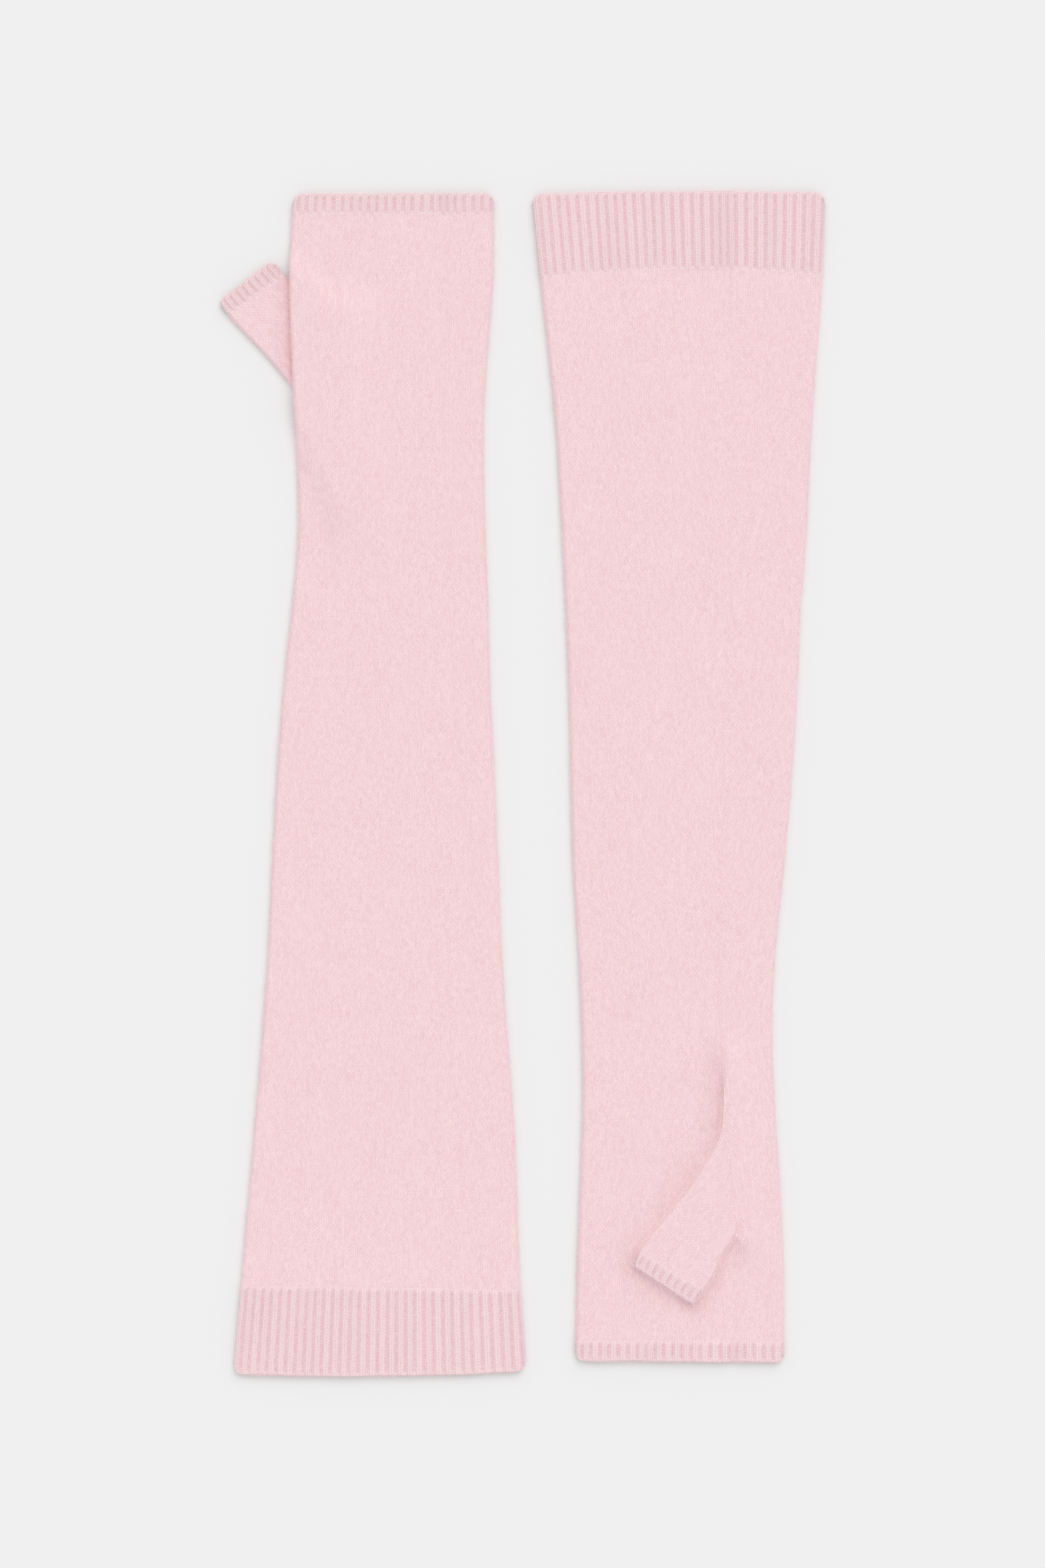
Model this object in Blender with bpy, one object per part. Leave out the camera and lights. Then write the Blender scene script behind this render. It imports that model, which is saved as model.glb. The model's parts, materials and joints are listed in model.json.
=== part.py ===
"""A pair of long fingerless knitted gloves, laid flat side by side.

Each glove is knitted in the round: a deep ribbed cuff at the arm, a shaped stocking-stitch tube,
a short ribbed band at the hand hem, and a thumb tube with its own ribbed band. One glove lies back
of the hand up, with its thumb coming out from beneath. The other lies palm up, with its thumb
folded over the palm.

Sizes are in millimetres until a mesh is made. X is to the right, Y away, Z up from the surface.
A station is the distance along a glove from its hand hem. Across is the distance from the left
side fold of a section.
"""
from dataclasses import dataclass
from typing import NamedTuple

import bmesh
import bpy
import numpy as np

MM = 0.001

# The cloth: one layer of the tube and of the thumb, and the air between two layers that lie flat
WALL = 1.3
SLOT = 0.6
BODY_HEIGHT = 2 * WALL + SLOT
THUMB_WALL = 1.2
THUMB_SLOT = 0.5
THUMB_HEIGHT = 2 * THUMB_WALL + THUMB_SLOT
SEAM = 0.3

# How far the cloth that lies over a thumb, or carries on into it, stands above the rest
STEP = THUMB_HEIGHT + SEAM

# The opening into the thumb, up the step in the cloth
OPENING_LOW = 1.4
OPENING_HIGH = 1.8
RISER_SPREAD = np.array([-0.6, -0.2, 0.2, 0.6])

# Ribs, one knit and one purl: recess floor and rib top in the order across one repeat
RIB_RISE = 0.6
RIB_RECESS = 0.1
RIB_ACROSS = np.array([0.10, 0.34, 0.48, 0.90])
RIB_LEVEL = np.array([0.0, 0.0, 1.0, 1.0])
HEM_CORNER = 3.3
TIP_CORNER = 2.2

FOLD_STEPS = 4
FLOOR_COLUMNS = 4
THUMB_TOP_COLUMNS = 4
RAMP_START = 2.0
PALM_RAMP = 14.0
BACK_RAMP = 24.0
CREASE_HALF = 3.0

HAND_RIB_DEPTH = 8.6
HAND_RIBS = 22
ARM_RIBS = 30
THUMB_RIBS = 8
THUMB_RIB_START = 0.8625
THUMB_SEAM_SHARE = 0.0055

PINK = (0.80, 0.56, 0.575, 1.0)
RIB_PINK = (0.78, 0.53, 0.55, 1.0)
WOOL_ROUGHNESS = 0.9


class Outline(NamedTuple):
    """Where the two side folds lie, in X."""

    station: float
    left: float
    right: float


class Bow(NamedTuple):
    """How far a row of stitches lies towards the arm at the left fold, the middle and the right fold."""

    station: float
    left: float
    middle: float
    right: float


class Line(NamedTuple):
    """The line of narrowings that the thumb stands on: its X, and the depth of the groove along it."""

    station: float
    x: float
    depth: float


class ThumbEdges(NamedTuple):
    """The thumb's two side folds from root (0) to tip (1): lx, ly on the long side, rx, ry at the crotch."""

    share: float
    lx: float
    ly: float
    rx: float
    ry: float


@dataclass
class Glove:
    name: str
    hand_hem_y: float
    heading: int
    length: float
    arm_rib_depth: float
    outline: list
    bow: list
    line: list
    crease: list
    thumb: list
    thumb_beneath: bool
    crotch: float
    heel: float
    stations: list


# Station 52.5 is the crotch and 113.7 the heel of the thumb, between which the line is straight
PALM_UP = Glove(
    name="palm_up",
    hand_hem_y=-236.7,
    heading=1,
    length=479.0,
    arm_rib_depth=33.0,
    outline=[
        Outline(0, 21.8, 107.2),
        Outline(42, 22.7, 106.8),
        Outline(75, 23.8, 105.2),
        Outline(100, 24.7, 103.6),
        Outline(120, 24.8, 102.5),
        Outline(145, 24.1, 102.3),
        Outline(175, 22.6, 104.2),
        Outline(205, 20.8, 107.3),
        Outline(240, 19.9, 110.2),
        Outline(280, 19.0, 112.7),
        Outline(305, 18.0, 113.7),
        Outline(340, 16.3, 116.3),
        Outline(380, 14.0, 118.2),
        Outline(445, 7.6, 122.6),
        Outline(479, 4.2, 123.8),
    ],
    bow=[
        Bow(0, 0.3, 0.1, -0.3),
        Bow(20, 0, 0, 0),
        Bow(400, 0, 0, 0),
        Bow(446, -2.6, 1.5, -1.3),
        Bow(479, -1.0, 0.2, -0.4),
    ],
    line=[
        Line(0, 86.3, 0.5),
        Line(52.5, 87.2, 0.3),
        Line(113.7, 82.2, 0.3),
        Line(155, 79.5, 0.5),
        Line(205, 80.3, 0.4),
        Line(260, 82.2, 0.3),
        Line(366, 84.4, 0.4),
        Line(479, 85.5, 0.3),
    ],
    crease=[],
    thumb=[
        ThumbEdges(0.0, 82.2, -123.0, 87.2, -184.2),
        ThumbEdges(0.2, 80.8, -142.1, 84.1, -189.0),
        ThumbEdges(0.4, 72.4, -158.5, 81.2, -193.9),
        ThumbEdges(0.6, 61.6, -173.5, 78.8, -199.1),
        ThumbEdges(0.8, 50.1, -187.7, 76.1, -204.0),
        ThumbEdges(1.0, 45.1, -196.8, 70.2, -213.2),
    ],
    thumb_beneath=False,
    crotch=52.5,
    heel=113.7,
    stations=[20, 32, 42, 47, 51, 58, 68, 80, 92, 104, 115, 120, 125, 131, 140, 155, 175, 190, 205, 225, 245,
              265, 285, 305, 325, 345, 365, 385, 405, 425],
)

BACK_UP = Glove(
    name="back_up",
    hand_hem_y=241.6,
    heading=-1,
    length=483.8,
    arm_rib_depth=36.0,
    outline=[
        Outline(0, -94.0, -12.0),
        Outline(33, -95.3, -12.1),
        Outline(55, -94.8, -13.7),
        Outline(85, -93.5, -15.8),
        Outline(110, -92.3, -16.1),
        Outline(140, -91.8, -15.3),
        Outline(165, -93.9, -14.4),
        Outline(195, -97.1, -13.7),
        Outline(230, -100.0, -12.0),
        Outline(320, -104.8, -8.1),
        Outline(390, -110.3, -3.2),
        Outline(430, -113.8, -1.8),
        Outline(483.8, -118.2, 1.0),
    ],
    bow=[
        Bow(0, 0.3, 0, -0.2),
        Bow(20, 0, 0, 0),
        Bow(400, 0, 0, 0),
        Bow(448, -0.8, 0, 1.1),
        Bow(483.8, -0.4, 0.3, -1.6),
    ],
    line=[
        Line(0, -77.0, 0),
        Line(52.5, -75.9, 0),
        Line(116.1, -75.9, 0),
        Line(195, -79.0, 0),
        Line(483.8, -99.0, 0),
    ],
    crease=[
        Line(0, -33.6, 0),
        Line(62, -33.6, 0.3),
        Line(148, -33.0, 0.3),
        Line(220, -27.6, 0.2),
        Line(273, -22.9, 0.35),
        Line(391, -21.6, 0.35),
        Line(483.8, -20.0, 0),
    ],
    thumb=[
        ThumbEdges(0.0, -75.9, 125.5, -75.9, 189.1),
        ThumbEdges(0.2, -84.0, 142.9, -80.8, 193.3),
        ThumbEdges(0.4, -92.5, 159.7, -85.6, 197.5),
        ThumbEdges(0.6, -104.4, 174.7, -90.5, 201.6),
        ThumbEdges(0.8, -117.4, 188.5, -95.3, 205.8),
        ThumbEdges(1.0, -124.7, 197.3, -102.6, 214.3),
    ],
    thumb_beneath=True,
    crotch=52.5,
    heel=116.1,
    stations=[14, 20, 25, 30, 35, 42, 47, 51, 60, 70, 80, 86, 92, 98, 104, 110, 117.5, 122, 127, 133, 139, 150,
              165, 180, 195, 215, 235, 255, 275, 295, 315, 335, 355, 375, 395, 415, 432],
)

# Where the thumb's two edges pass under the left side fold, nearer the hand hem than its crotch and heel
THUMB_SLANT_CROTCH = 16.5
THUMB_SLANT_HEEL = 37.0
MARGIN_AT_CROTCH = 2.5
MARGIN_AT_HEEL = 6.5
COVER_FADE = 15.0
RISER_MARGIN = 1.2
FADE_TO_HAND = 9.0
FADE_TO_ARM = 16.0


def clear_scene():
    for old in list(bpy.data.objects):
        bpy.data.objects.remove(old, do_unlink=True)


def smooth(rows, column, at):
    """A smooth curve through a table's column: cubic pieces whose slopes come from each row's neighbours."""
    first = np.array([row[0] for row in rows], float)
    value = np.array([getattr(row, column) for row in rows], float)
    slope = np.gradient(value, first)
    k = int(np.clip(np.searchsorted(first, at) - 1, 0, len(rows) - 2))
    span = first[k + 1] - first[k]
    t = (at - first[k]) / span
    rest = 1 - t
    return (
        value[k] * rest * rest * (1 + 2 * t)
        + value[k + 1] * t * t * (3 - 2 * t)
        + slope[k] * span * t * rest * rest
        - slope[k + 1] * span * t * t * rest
    )


def straight(rows, column, at):
    """Straight runs between a table's rows, as a fold in cloth has."""
    return float(np.interp(at, [row[0] for row in rows], [getattr(row, column) for row in rows]))


def ease(share):
    """Soft step from 0 to 1 while share goes from 0 to 1."""
    share = np.clip(share, 0.0, 1.0)
    return share * share * (3 - 2 * share)


def corner_pull(distance, radius):
    """How far a round corner draws an edge back, at a distance in from the side."""
    inside = np.clip(radius - distance, 0.0, radius)
    return radius - np.sqrt(radius * radius - inside * inside)


def row_offset(glove, share, station):
    """The bow of a row of stitches: a parabola through its left, middle and right offsets."""
    left, middle, right = (straight(glove.bow, name, station) for name in ("left", "middle", "right"))
    t = 2 * share - 1
    return middle + (right - left) / 2 * t + ((left + right) / 2 - middle) * t * t


def fold(height, wall):
    """The half-round left side fold from its foot to its top: outer and inner (across, z) points."""
    angle = np.radians(np.linspace(-90, 90, FOLD_STEPS + 1))
    radius = height / 2
    outer = np.stack([radius - radius * np.cos(angle), radius + radius * np.sin(angle)], 1)
    bore = radius - wall
    inner = np.stack([radius - bore * np.cos(angle), radius + bore * np.sin(angle)], 1)
    return outer, inner


def closed_section(width, height, wall, upper, lower, edge_lift=0.0):
    """One flat section from the left fold over the upper layer to the right fold and back underneath.

    upper and lower are pairs of outer and inner (across, z) points, each from left to right.
    """
    outer_fold, inner_fold = fold(height, wall)
    rings = []
    for side, fold_points in enumerate((outer_fold, inner_fold)):
        near = fold_points + [0.0, edge_lift]
        far = fold_points[::-1] * [-1.0, 1.0] + [width, 0.0]
        rings.append(np.concatenate([near, upper[side], far, lower[side][::-1]]))
    return rings


def layer(across, z_outer, across_inner, z_inner):
    return np.stack([across, z_outer], 1), np.stack([across_inner, z_inner], 1)


def plain_floor(width, radius, wall):
    """The flat underside between the two side folds."""
    across = np.linspace(radius, width - radius, FLOOR_COLUMNS + 2)[1:-1]
    return layer(across, np.zeros(FLOOR_COLUMNS), across, np.full(FLOOR_COLUMNS, wall))


def riser(root, low_outer, low_inner, full, rises_to_left):
    """The four columns up the step at the root line, spread flat where the step has faded away.

    The inner face stands one wall to the right of the outer one.
    """
    rise = np.array([0.0, OPENING_LOW, OPENING_HIGH, STEP]) * full
    level_gap = np.array([low_inner - low_outer] * 4)
    level_gap[1:3] *= 1 - full
    if rises_to_left:
        rise = rise[::-1]
    across = root + RISER_SPREAD * (1 - full)
    return across, low_outer + rise, across + WALL * full, low_outer + rise + level_gap


def cover(share_to_edge, station, glove):
    """How far the cloth is lifted by a thumb beneath it, from 0 to 1.

    The thumb's two edges slant towards the hand hem as they near the side fold.
    """
    near = glove.crotch - THUMB_SLANT_CROTCH * share_to_edge - MARGIN_AT_CROTCH
    far = glove.heel - THUMB_SLANT_HEEL * share_to_edge + MARGIN_AT_HEEL
    return ease((station - near + COVER_FADE) / COVER_FADE) * ease((far + COVER_FADE - station) / COVER_FADE)


def ramp(beyond, length):
    """Soft fall of the lifted cloth to the right of the thumb's root."""
    return 1 - ease((beyond - RAMP_START) / length)


def palm_up_section(glove, station, width, root):
    """Palm on top: flat left of the root line, raised right of it where the thumb is knitted on."""
    radius = BODY_HEIGHT / 2
    before = glove.crotch - RISER_MARGIN
    after = glove.heel + RISER_MARGIN
    rising = ease((station - before + FADE_TO_HAND) / FADE_TO_HAND)
    full = float(rising * ease((after + FADE_TO_ARM - station) / FADE_TO_ARM))
    groove = straight(glove.line, "depth", station) * (1 - full)
    left = np.linspace(radius, root - CREASE_HALF, 5)[1:]
    right = root + (width - radius - root) * np.array([0.19, 0.40, 0.64, 0.88])
    step = riser(root, BODY_HEIGHT, BODY_HEIGHT - WALL, full, rises_to_left=False)
    right_z = BODY_HEIGHT + STEP * full * ramp(right - root, PALM_RAMP)
    upper = layer(
        np.concatenate([left, step[0], right]),
        np.concatenate([np.full(len(left), BODY_HEIGHT), step[1] - groove, right_z]),
        np.concatenate([left, step[2], right]),
        np.concatenate([np.full(len(left), BODY_HEIGHT - WALL), step[3], right_z - WALL]),
    )
    opening = FOLD_STEPS + 1 + len(left) + 1
    lower = plain_floor(width, radius, WALL)
    return closed_section(width, BODY_HEIGHT, WALL, upper, lower), opening


def back_up_section(glove, station, width, root, crease):
    """Palm beneath, on the thumb left of the root line, with the back of the hand draped over both."""
    radius = BODY_HEIGHT / 2

    def lift(across):
        """Lift of the palm left of the root line, which the back of the hand follows."""
        return STEP * cover(np.clip((root - across) / root, 0, 1), station, glove)

    full = float(cover(0.0, station, glove))
    palm_left = np.linspace(radius, root, 5)[1:-1]
    palm_right = np.linspace(root + 2 * WALL, width - radius, 3)[:-1]
    step = riser(root, 0.0, WALL, full, rises_to_left=True)
    lower = layer(
        np.concatenate([palm_left, step[0], palm_right]),
        np.concatenate([lift(palm_left), step[1], np.zeros(len(palm_right))]),
        np.concatenate([palm_left, step[2], palm_right]),
        np.concatenate([lift(palm_left) + WALL, step[3], np.full(len(palm_right), WALL)]),
    )
    over_thumb = np.linspace(radius, root + RAMP_START, 5)[1:]
    falling = root + RAMP_START + BACK_RAMP * np.array([0.2, 0.4, 0.6, 0.8, 1.0])
    middle = crease + CREASE_HALF * np.array([-1.0, 0.0, 1.0])
    edge = (middle[-1] + width - radius) / 2
    across = np.concatenate([over_thumb, falling, middle, [edge]])
    z = BODY_HEIGHT + lift(across) * ramp(across - root, BACK_RAMP)
    groove = np.zeros(len(across))
    groove[len(over_thumb) + len(falling) + 1] = straight(glove.crease, "depth", station)
    upper = layer(across, z - groove, across, z - WALL)
    edge_lift = float(STEP * cover(1.0, station, glove))
    from_left = len(palm_left) + 2
    opening = 2 * (FOLD_STEPS + 1) + len(across) + len(lower[0]) - 1 - from_left
    return closed_section(width, BODY_HEIGHT, WALL, upper, lower, edge_lift), opening


def place(glove, ring, station, left, width, hem_pull=0.0):
    """Puts (across, z) points of a section at its station, with the bow of its row and any pull at a hem."""
    across, z = ring[:, 0], ring[:, 1]
    along = station + row_offset(glove, across / width, station) + hem_pull
    return np.stack([left + across, glove.hand_hem_y + glove.heading * along, z], 1)


def knit_wall(name, outer, inner, partner, colour, opening=()):
    """One closed wall of cloth from outer and inner rings of points, joined round every open edge.

    partner gives the inner column of each outer column, and opening lists the (ring, column) cells
    that are left out of both faces.
    """
    rings, columns = outer.shape[:2]
    inner_columns = inner.shape[1]
    mesh = bmesh.new()
    out = [[mesh.verts.new(point * MM) for point in ring] for ring in outer]
    ins = [[mesh.verts.new(point * MM) for point in ring] for ring in inner]
    loose = {}
    for i in range(rings - 1):
        for j in range(columns):
            k = (j + 1) % columns
            if (i, j) in opening:
                continue
            corners = [(i, j), (i, k), (i + 1, k), (i + 1, j)]
            mesh.faces.new([out[a][b] for a, b in corners])
            for start, end in zip(corners, corners[1:] + corners[:1]):
                if loose.pop((end, start), None) is None:
                    loose[(start, end)] = True
        for j in range(inner_columns):
            k = (j + 1) % inner_columns
            if (i, j) not in opening:
                mesh.faces.new([ins[i][j], ins[i + 1][j], ins[i + 1][k], ins[i][k]])
    for start, end in loose:
        inner_start = ins[start[0]][partner[start[1]]]
        inner_end = ins[end[0]][partner[end[1]]]
        rim = [out[end[0]][end[1]], out[start[0]][start[1]], inner_start]
        if inner_end is not inner_start:
            rim.append(inner_end)
        mesh.faces.new(rim)
    if mesh.calc_volume(signed=True) < 0:
        bmesh.ops.reverse_faces(mesh, faces=mesh.faces[:])
    data = bpy.data.meshes.new(name)
    mesh.to_mesh(data)
    mesh.free()
    data.shade_smooth()
    data.set_sharp_from_angle(angle=np.radians(50))
    data.materials.append(cloth(name, colour))
    piece = bpy.data.objects.new(name, data)
    bpy.context.scene.collection.objects.link(piece)
    return piece


def cloth(name, colour):
    material = bpy.data.materials.new(name + "_knit")
    material.use_nodes = True
    shader = material.node_tree.nodes["Principled BSDF"]
    shader.inputs["Base Color"].default_value = colour
    shader.inputs["Roughness"].default_value = WOOL_ROUGHNESS
    shader.inputs["Metallic"].default_value = 0.0
    material.diffuse_color = colour
    return material


def make_body(glove):
    """The shaped tube between the two ribbed bands, with its opening into the thumb."""
    start = HAND_RIB_DEPTH + SEAM
    end = glove.length - glove.arm_rib_depth - SEAM
    stations = [start] + glove.stations + [end]
    outer, inner, window = [], [], set()
    for i, station in enumerate(stations):
        left = smooth(glove.outline, "left", station)
        width = smooth(glove.outline, "right", station) - left
        root = straight(glove.line, "x", station) - left
        if glove.thumb_beneath:
            crease = straight(glove.crease, "x", station) - left
            rings, opening = back_up_section(glove, station, width, root, crease)
        else:
            rings, opening = palm_up_section(glove, station, width, root)
        outer.append(place(glove, rings[0], station, left, width))
        inner.append(place(glove, rings[1], station, left, width))
        following = stations[min(i + 1, len(stations) - 1)]
        if glove.crotch < station and following < glove.heel:
            window.add((i, opening))
    outer, inner = np.array(outer), np.array(inner)
    knit_wall(glove.name + "_body", outer, inner, range(outer.shape[1]), PINK, window)


def rib_section(width, count, rise, height, wall):
    """A flat section with ribs on its upper layer over a plain inside.

    Also gives the inner column that each outer one is joined to at an edge.
    """
    radius = height / 2
    pitch = (width - height) / count
    ribs = np.arange(count)
    across = (radius + pitch * (ribs[:, None] + RIB_ACROSS)).ravel()
    z = np.tile(height - RIB_RECESS + rise * RIB_LEVEL, count)
    middles = radius + pitch * (ribs + 0.5)
    upper = np.stack([across, z], 1), np.stack([middles, np.full(count, height - wall)], 1)
    rings = closed_section(width, height, wall, upper, plain_floor(width, radius, wall))
    side = FOLD_STEPS + 1
    after_ribs = side + count + np.arange(side + FLOOR_COLUMNS)
    partner = np.concatenate([np.arange(side), side + np.repeat(ribs, len(RIB_ACROSS)), after_ribs])
    return rings, partner


def make_band(glove, name, hem, depth, count, direction):
    """A ribbed band round the tube: hem is the station of its edge, and direction leads into the glove."""
    steps = [0.0, 1.0, 3.0] + ([depth / 2] if depth > 20 else []) + [depth]
    outer, inner = [], []
    for step in steps:
        station = hem + direction * step
        left = smooth(glove.outline, "left", station)
        width = smooth(glove.outline, "right", station) - left
        rise = RIB_RISE * (0.35 + 0.65 * float(ease(step / 3.0)))
        rings, partner = rib_section(width, count, rise, BODY_HEIGHT, WALL)
        for ring, rows in zip(rings, (outer, inner)):
            from_side = np.minimum(ring[:, 0], width - ring[:, 0])
            pull = direction * corner_pull(from_side, HEM_CORNER) * (1 - step / depth)
            rows.append(place(glove, ring, station, left, width, pull))
    knit_wall(f"{glove.name}_{name}", np.array(outer), np.array(inner), partner, RIB_PINK)


def thumb_chord(glove, share):
    """Where one section of the thumb starts on its long side, its direction across and its width."""
    long_side = np.array([smooth(glove.thumb, "lx", share), smooth(glove.thumb, "ly", share)])
    crotch_side = np.array([smooth(glove.thumb, "rx", share), smooth(glove.thumb, "ry", share)])
    width = float(np.hypot(*(crotch_side - long_side)))
    return long_side, (crotch_side - long_side) / width, width


def place_thumb(glove, ring, start, across_way):
    """Puts (across, z) points of a thumb section in plan, at the height where the thumb lies."""
    base = 0.0 if glove.thumb_beneath else BODY_HEIGHT + SEAM
    return np.column_stack([start + ring[:, :1] * across_way, base + ring[:, 1]])


def plain_thumb_section(width):
    radius = THUMB_HEIGHT / 2
    top = np.linspace(radius, width - radius, THUMB_TOP_COLUMNS + 2)[1:-1]
    level = np.full(THUMB_TOP_COLUMNS, THUMB_HEIGHT)
    upper = layer(top, level, top, level - THUMB_WALL)
    return closed_section(width, THUMB_HEIGHT, THUMB_WALL, upper, plain_floor(width, radius, THUMB_WALL))


def make_thumb(glove):
    """The thumb's plain tube, from the opening in the palm to its ribbed band."""
    outer, inner = [], []
    for share in np.append(np.linspace(0, 0.8, 13), THUMB_RIB_START - THUMB_SEAM_SHARE):
        start, across_way, width = thumb_chord(glove, share)
        if share == 0:
            start = start - [SEAM, 0.0]
        for ring, rows in zip(plain_thumb_section(width), (outer, inner)):
            rows.append(place_thumb(glove, ring, start, across_way))
    outer, inner = np.array(outer), np.array(inner)
    knit_wall(glove.name + "_thumb", outer, inner, range(outer.shape[1]), PINK)


def make_thumb_band(glove):
    """The ribbed band that ends the thumb, with its two corners rounded."""
    tip, across_way, _ = thumb_chord(glove, 1.0)
    back = np.array([-across_way[1], across_way[0]])
    back *= np.sign(back @ (thumb_chord(glove, THUMB_RIB_START)[0] - tip))
    outer, inner = [], []
    for share in (THUMB_RIB_START, 0.93, 0.97, 1.0):
        start, across_way, width = thumb_chord(glove, share)
        at_tip = (share - THUMB_RIB_START) / (1 - THUMB_RIB_START)
        rise = RIB_RISE * (1 - 0.6 * at_tip**6)
        rings, partner = rib_section(width, THUMB_RIBS, rise, THUMB_HEIGHT, THUMB_WALL)
        for ring, rows in zip(rings, (outer, inner)):
            from_side = np.minimum(ring[:, 0], width - ring[:, 0])
            points = place_thumb(glove, ring, start, across_way)
            points[:, :2] += corner_pull(from_side, TIP_CORNER)[:, None] * back * at_tip
            rows.append(points)
    knit_wall(glove.name + "_thumb_rib", np.array(outer), np.array(inner), partner, RIB_PINK)


def make_glove(glove):
    make_body(glove)
    make_band(glove, "hand_rib", 0.0, HAND_RIB_DEPTH, HAND_RIBS, 1)
    make_band(glove, "arm_rib", glove.length, glove.arm_rib_depth, ARM_RIBS, -1)
    make_thumb(glove)
    make_thumb_band(glove)


clear_scene()
make_glove(PALM_UP)
make_glove(BACK_UP)
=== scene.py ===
# %% [markdown]
# # A pair of long fingerless knitted gloves, laid flat
#
# Each glove is a tube of fine soft wool, knitted from the hand to the arm: a short ribbed band at the
# hand, a long shaped tube in stocking stitch, a deep ribbed cuff at the arm, and a short thumb with a
# ribbed band of its own. One lies with the back of the hand up and its thumb coming out from beneath,
# the other palm up with its thumb folded over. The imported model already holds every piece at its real
# size, so this script gives each one its knitted surface, in the same place.

# %% The frame
import json
from dataclasses import dataclass
from typing import NamedTuple

import bpy
import numpy as np
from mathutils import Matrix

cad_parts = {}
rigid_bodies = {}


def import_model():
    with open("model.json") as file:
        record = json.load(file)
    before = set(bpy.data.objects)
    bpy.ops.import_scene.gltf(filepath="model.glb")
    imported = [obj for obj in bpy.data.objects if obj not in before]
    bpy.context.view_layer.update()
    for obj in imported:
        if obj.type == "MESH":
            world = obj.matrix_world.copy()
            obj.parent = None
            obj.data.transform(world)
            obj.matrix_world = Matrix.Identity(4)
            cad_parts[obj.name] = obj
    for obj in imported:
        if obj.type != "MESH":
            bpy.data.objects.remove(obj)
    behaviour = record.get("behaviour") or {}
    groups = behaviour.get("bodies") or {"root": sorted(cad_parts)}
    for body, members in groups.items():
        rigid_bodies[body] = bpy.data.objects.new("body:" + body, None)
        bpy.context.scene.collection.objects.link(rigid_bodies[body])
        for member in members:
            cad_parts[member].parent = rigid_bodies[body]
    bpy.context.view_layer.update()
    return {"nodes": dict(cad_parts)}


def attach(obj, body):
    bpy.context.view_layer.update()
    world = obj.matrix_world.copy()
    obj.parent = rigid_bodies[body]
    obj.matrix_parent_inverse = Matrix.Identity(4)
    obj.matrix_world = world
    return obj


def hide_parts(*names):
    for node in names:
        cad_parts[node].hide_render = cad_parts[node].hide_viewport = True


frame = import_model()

print("pieces to dress:", ", ".join(sorted(frame["nodes"])))

# %% [markdown]
# ## Sizes of the cloth
#
# All shapes are worked out in millimetres and turned to metres when a mesh is made. A flattened tube is
# two layers of cloth with a little air between them, and each side fold is half round. A knitted fabric
# is counted in wales, the columns of stitches along the glove, and courses, the rows round it.

# %% The cloth
MM = 0.001
WALL = 1.3
THUMB_WALL = 1.2
BODY_HEIGHT = 3.2
THUMB_HEIGHT = 2.9
FOLD = BODY_HEIGHT / 2
THUMB_FOLD = THUMB_HEIGHT / 2
SEAM = 0.3
STEP = THUMB_HEIGHT + SEAM
HAND_RIB_DEPTH = 8.6
THUMB_RIB_START = 0.8625
HEM_CORNER = 3.3
TIP_CORNER = 2.2
COURSE = 1.45
RIB_COURSE = 1.3
WALE = 1.78
THUMB_WALE = 1.75
HAND_WALES = 44
ARM_WALES = 60
THUMB_WALES = 16
FOLD_WALES = 3
print("a flattened tube is", BODY_HEIGHT, "mm high, and a thumb lifts it by", round(STEP, 1), "mm")

# %% [markdown]
# ## Tables and curves
#
# A table holds only the places where an edge changes its run, and a smooth curve is drawn through them.
# It could be a spline object, but a formula on whole arrays is quicker and can be asked at any place.


# %% Curves
class Table:
    """Rows of numbers in millimetres under named columns. The first column says where each row is."""

    def __init__(self, names, *rows):
        self.names = names.split()
        self.columns = np.array(rows, float).T

    def read(self, name):
        return self.columns[self.names.index(name)]

    def smooth(self, name, at):
        """Cubic pieces whose slopes come from each row's neighbours, read at every value of an array."""
        first, value = self.columns[0], self.read(name)
        slope = np.gradient(value, first)
        k = np.clip(np.searchsorted(first, at) - 1, 0, len(first) - 2)
        span = first[k + 1] - first[k]
        t = (at - first[k]) / span
        rest = 1 - t
        return (
            value[k] * rest * rest * (1 + 2 * t)
            + value[k + 1] * t * t * (3 - 2 * t)
            + slope[k] * span * t * rest * rest
            - slope[k + 1] * span * t * t * rest
        )

    def straight(self, name, at):
        """Straight runs between the rows, as a fold in cloth has."""
        return np.interp(at, self.columns[0], self.read(name))


def ease(share):
    """Soft step from 0 to 1 while share goes from 0 to 1: 3 share squared less 2 share cubed."""
    share = np.clip(share, 0.0, 1.0)
    return share * share * (3 - 2 * share)


def hill(distance, half_width):
    """A soft hump, 1 at distance 0 and nearly 0 at two half widths."""
    return np.exp(-((distance / half_width) ** 2))


def corner_pull(distance, radius):
    """How far a round corner draws an edge back, at a distance in from the side: a quarter circle."""
    inside = np.clip(radius - distance, 0.0, radius)
    return radius - np.sqrt(radius * radius - inside * inside)


print("a hem's corner draws back by", round(float(corner_pull(0.5, HEM_CORNER)), 2), "mm, 0.5 mm in")

# %% [markdown]
# ## The two gloves
#
# A station is the distance along a glove from its hand hem. The outline says where the two side folds
# lie in X. The bow is how far a row of stitches lies towards the arm at the left fold, the middle and
# the right fold. The line is where the thumb is knitted on and the tube is narrowed, and the groove is
# the soft trough that shows, with its depth. The spine is the wale that the others run beside. The
# thumb has two side folds from its root (0) to its tip (1): lx, ly on the long side, rx, ry at the crotch.


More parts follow.
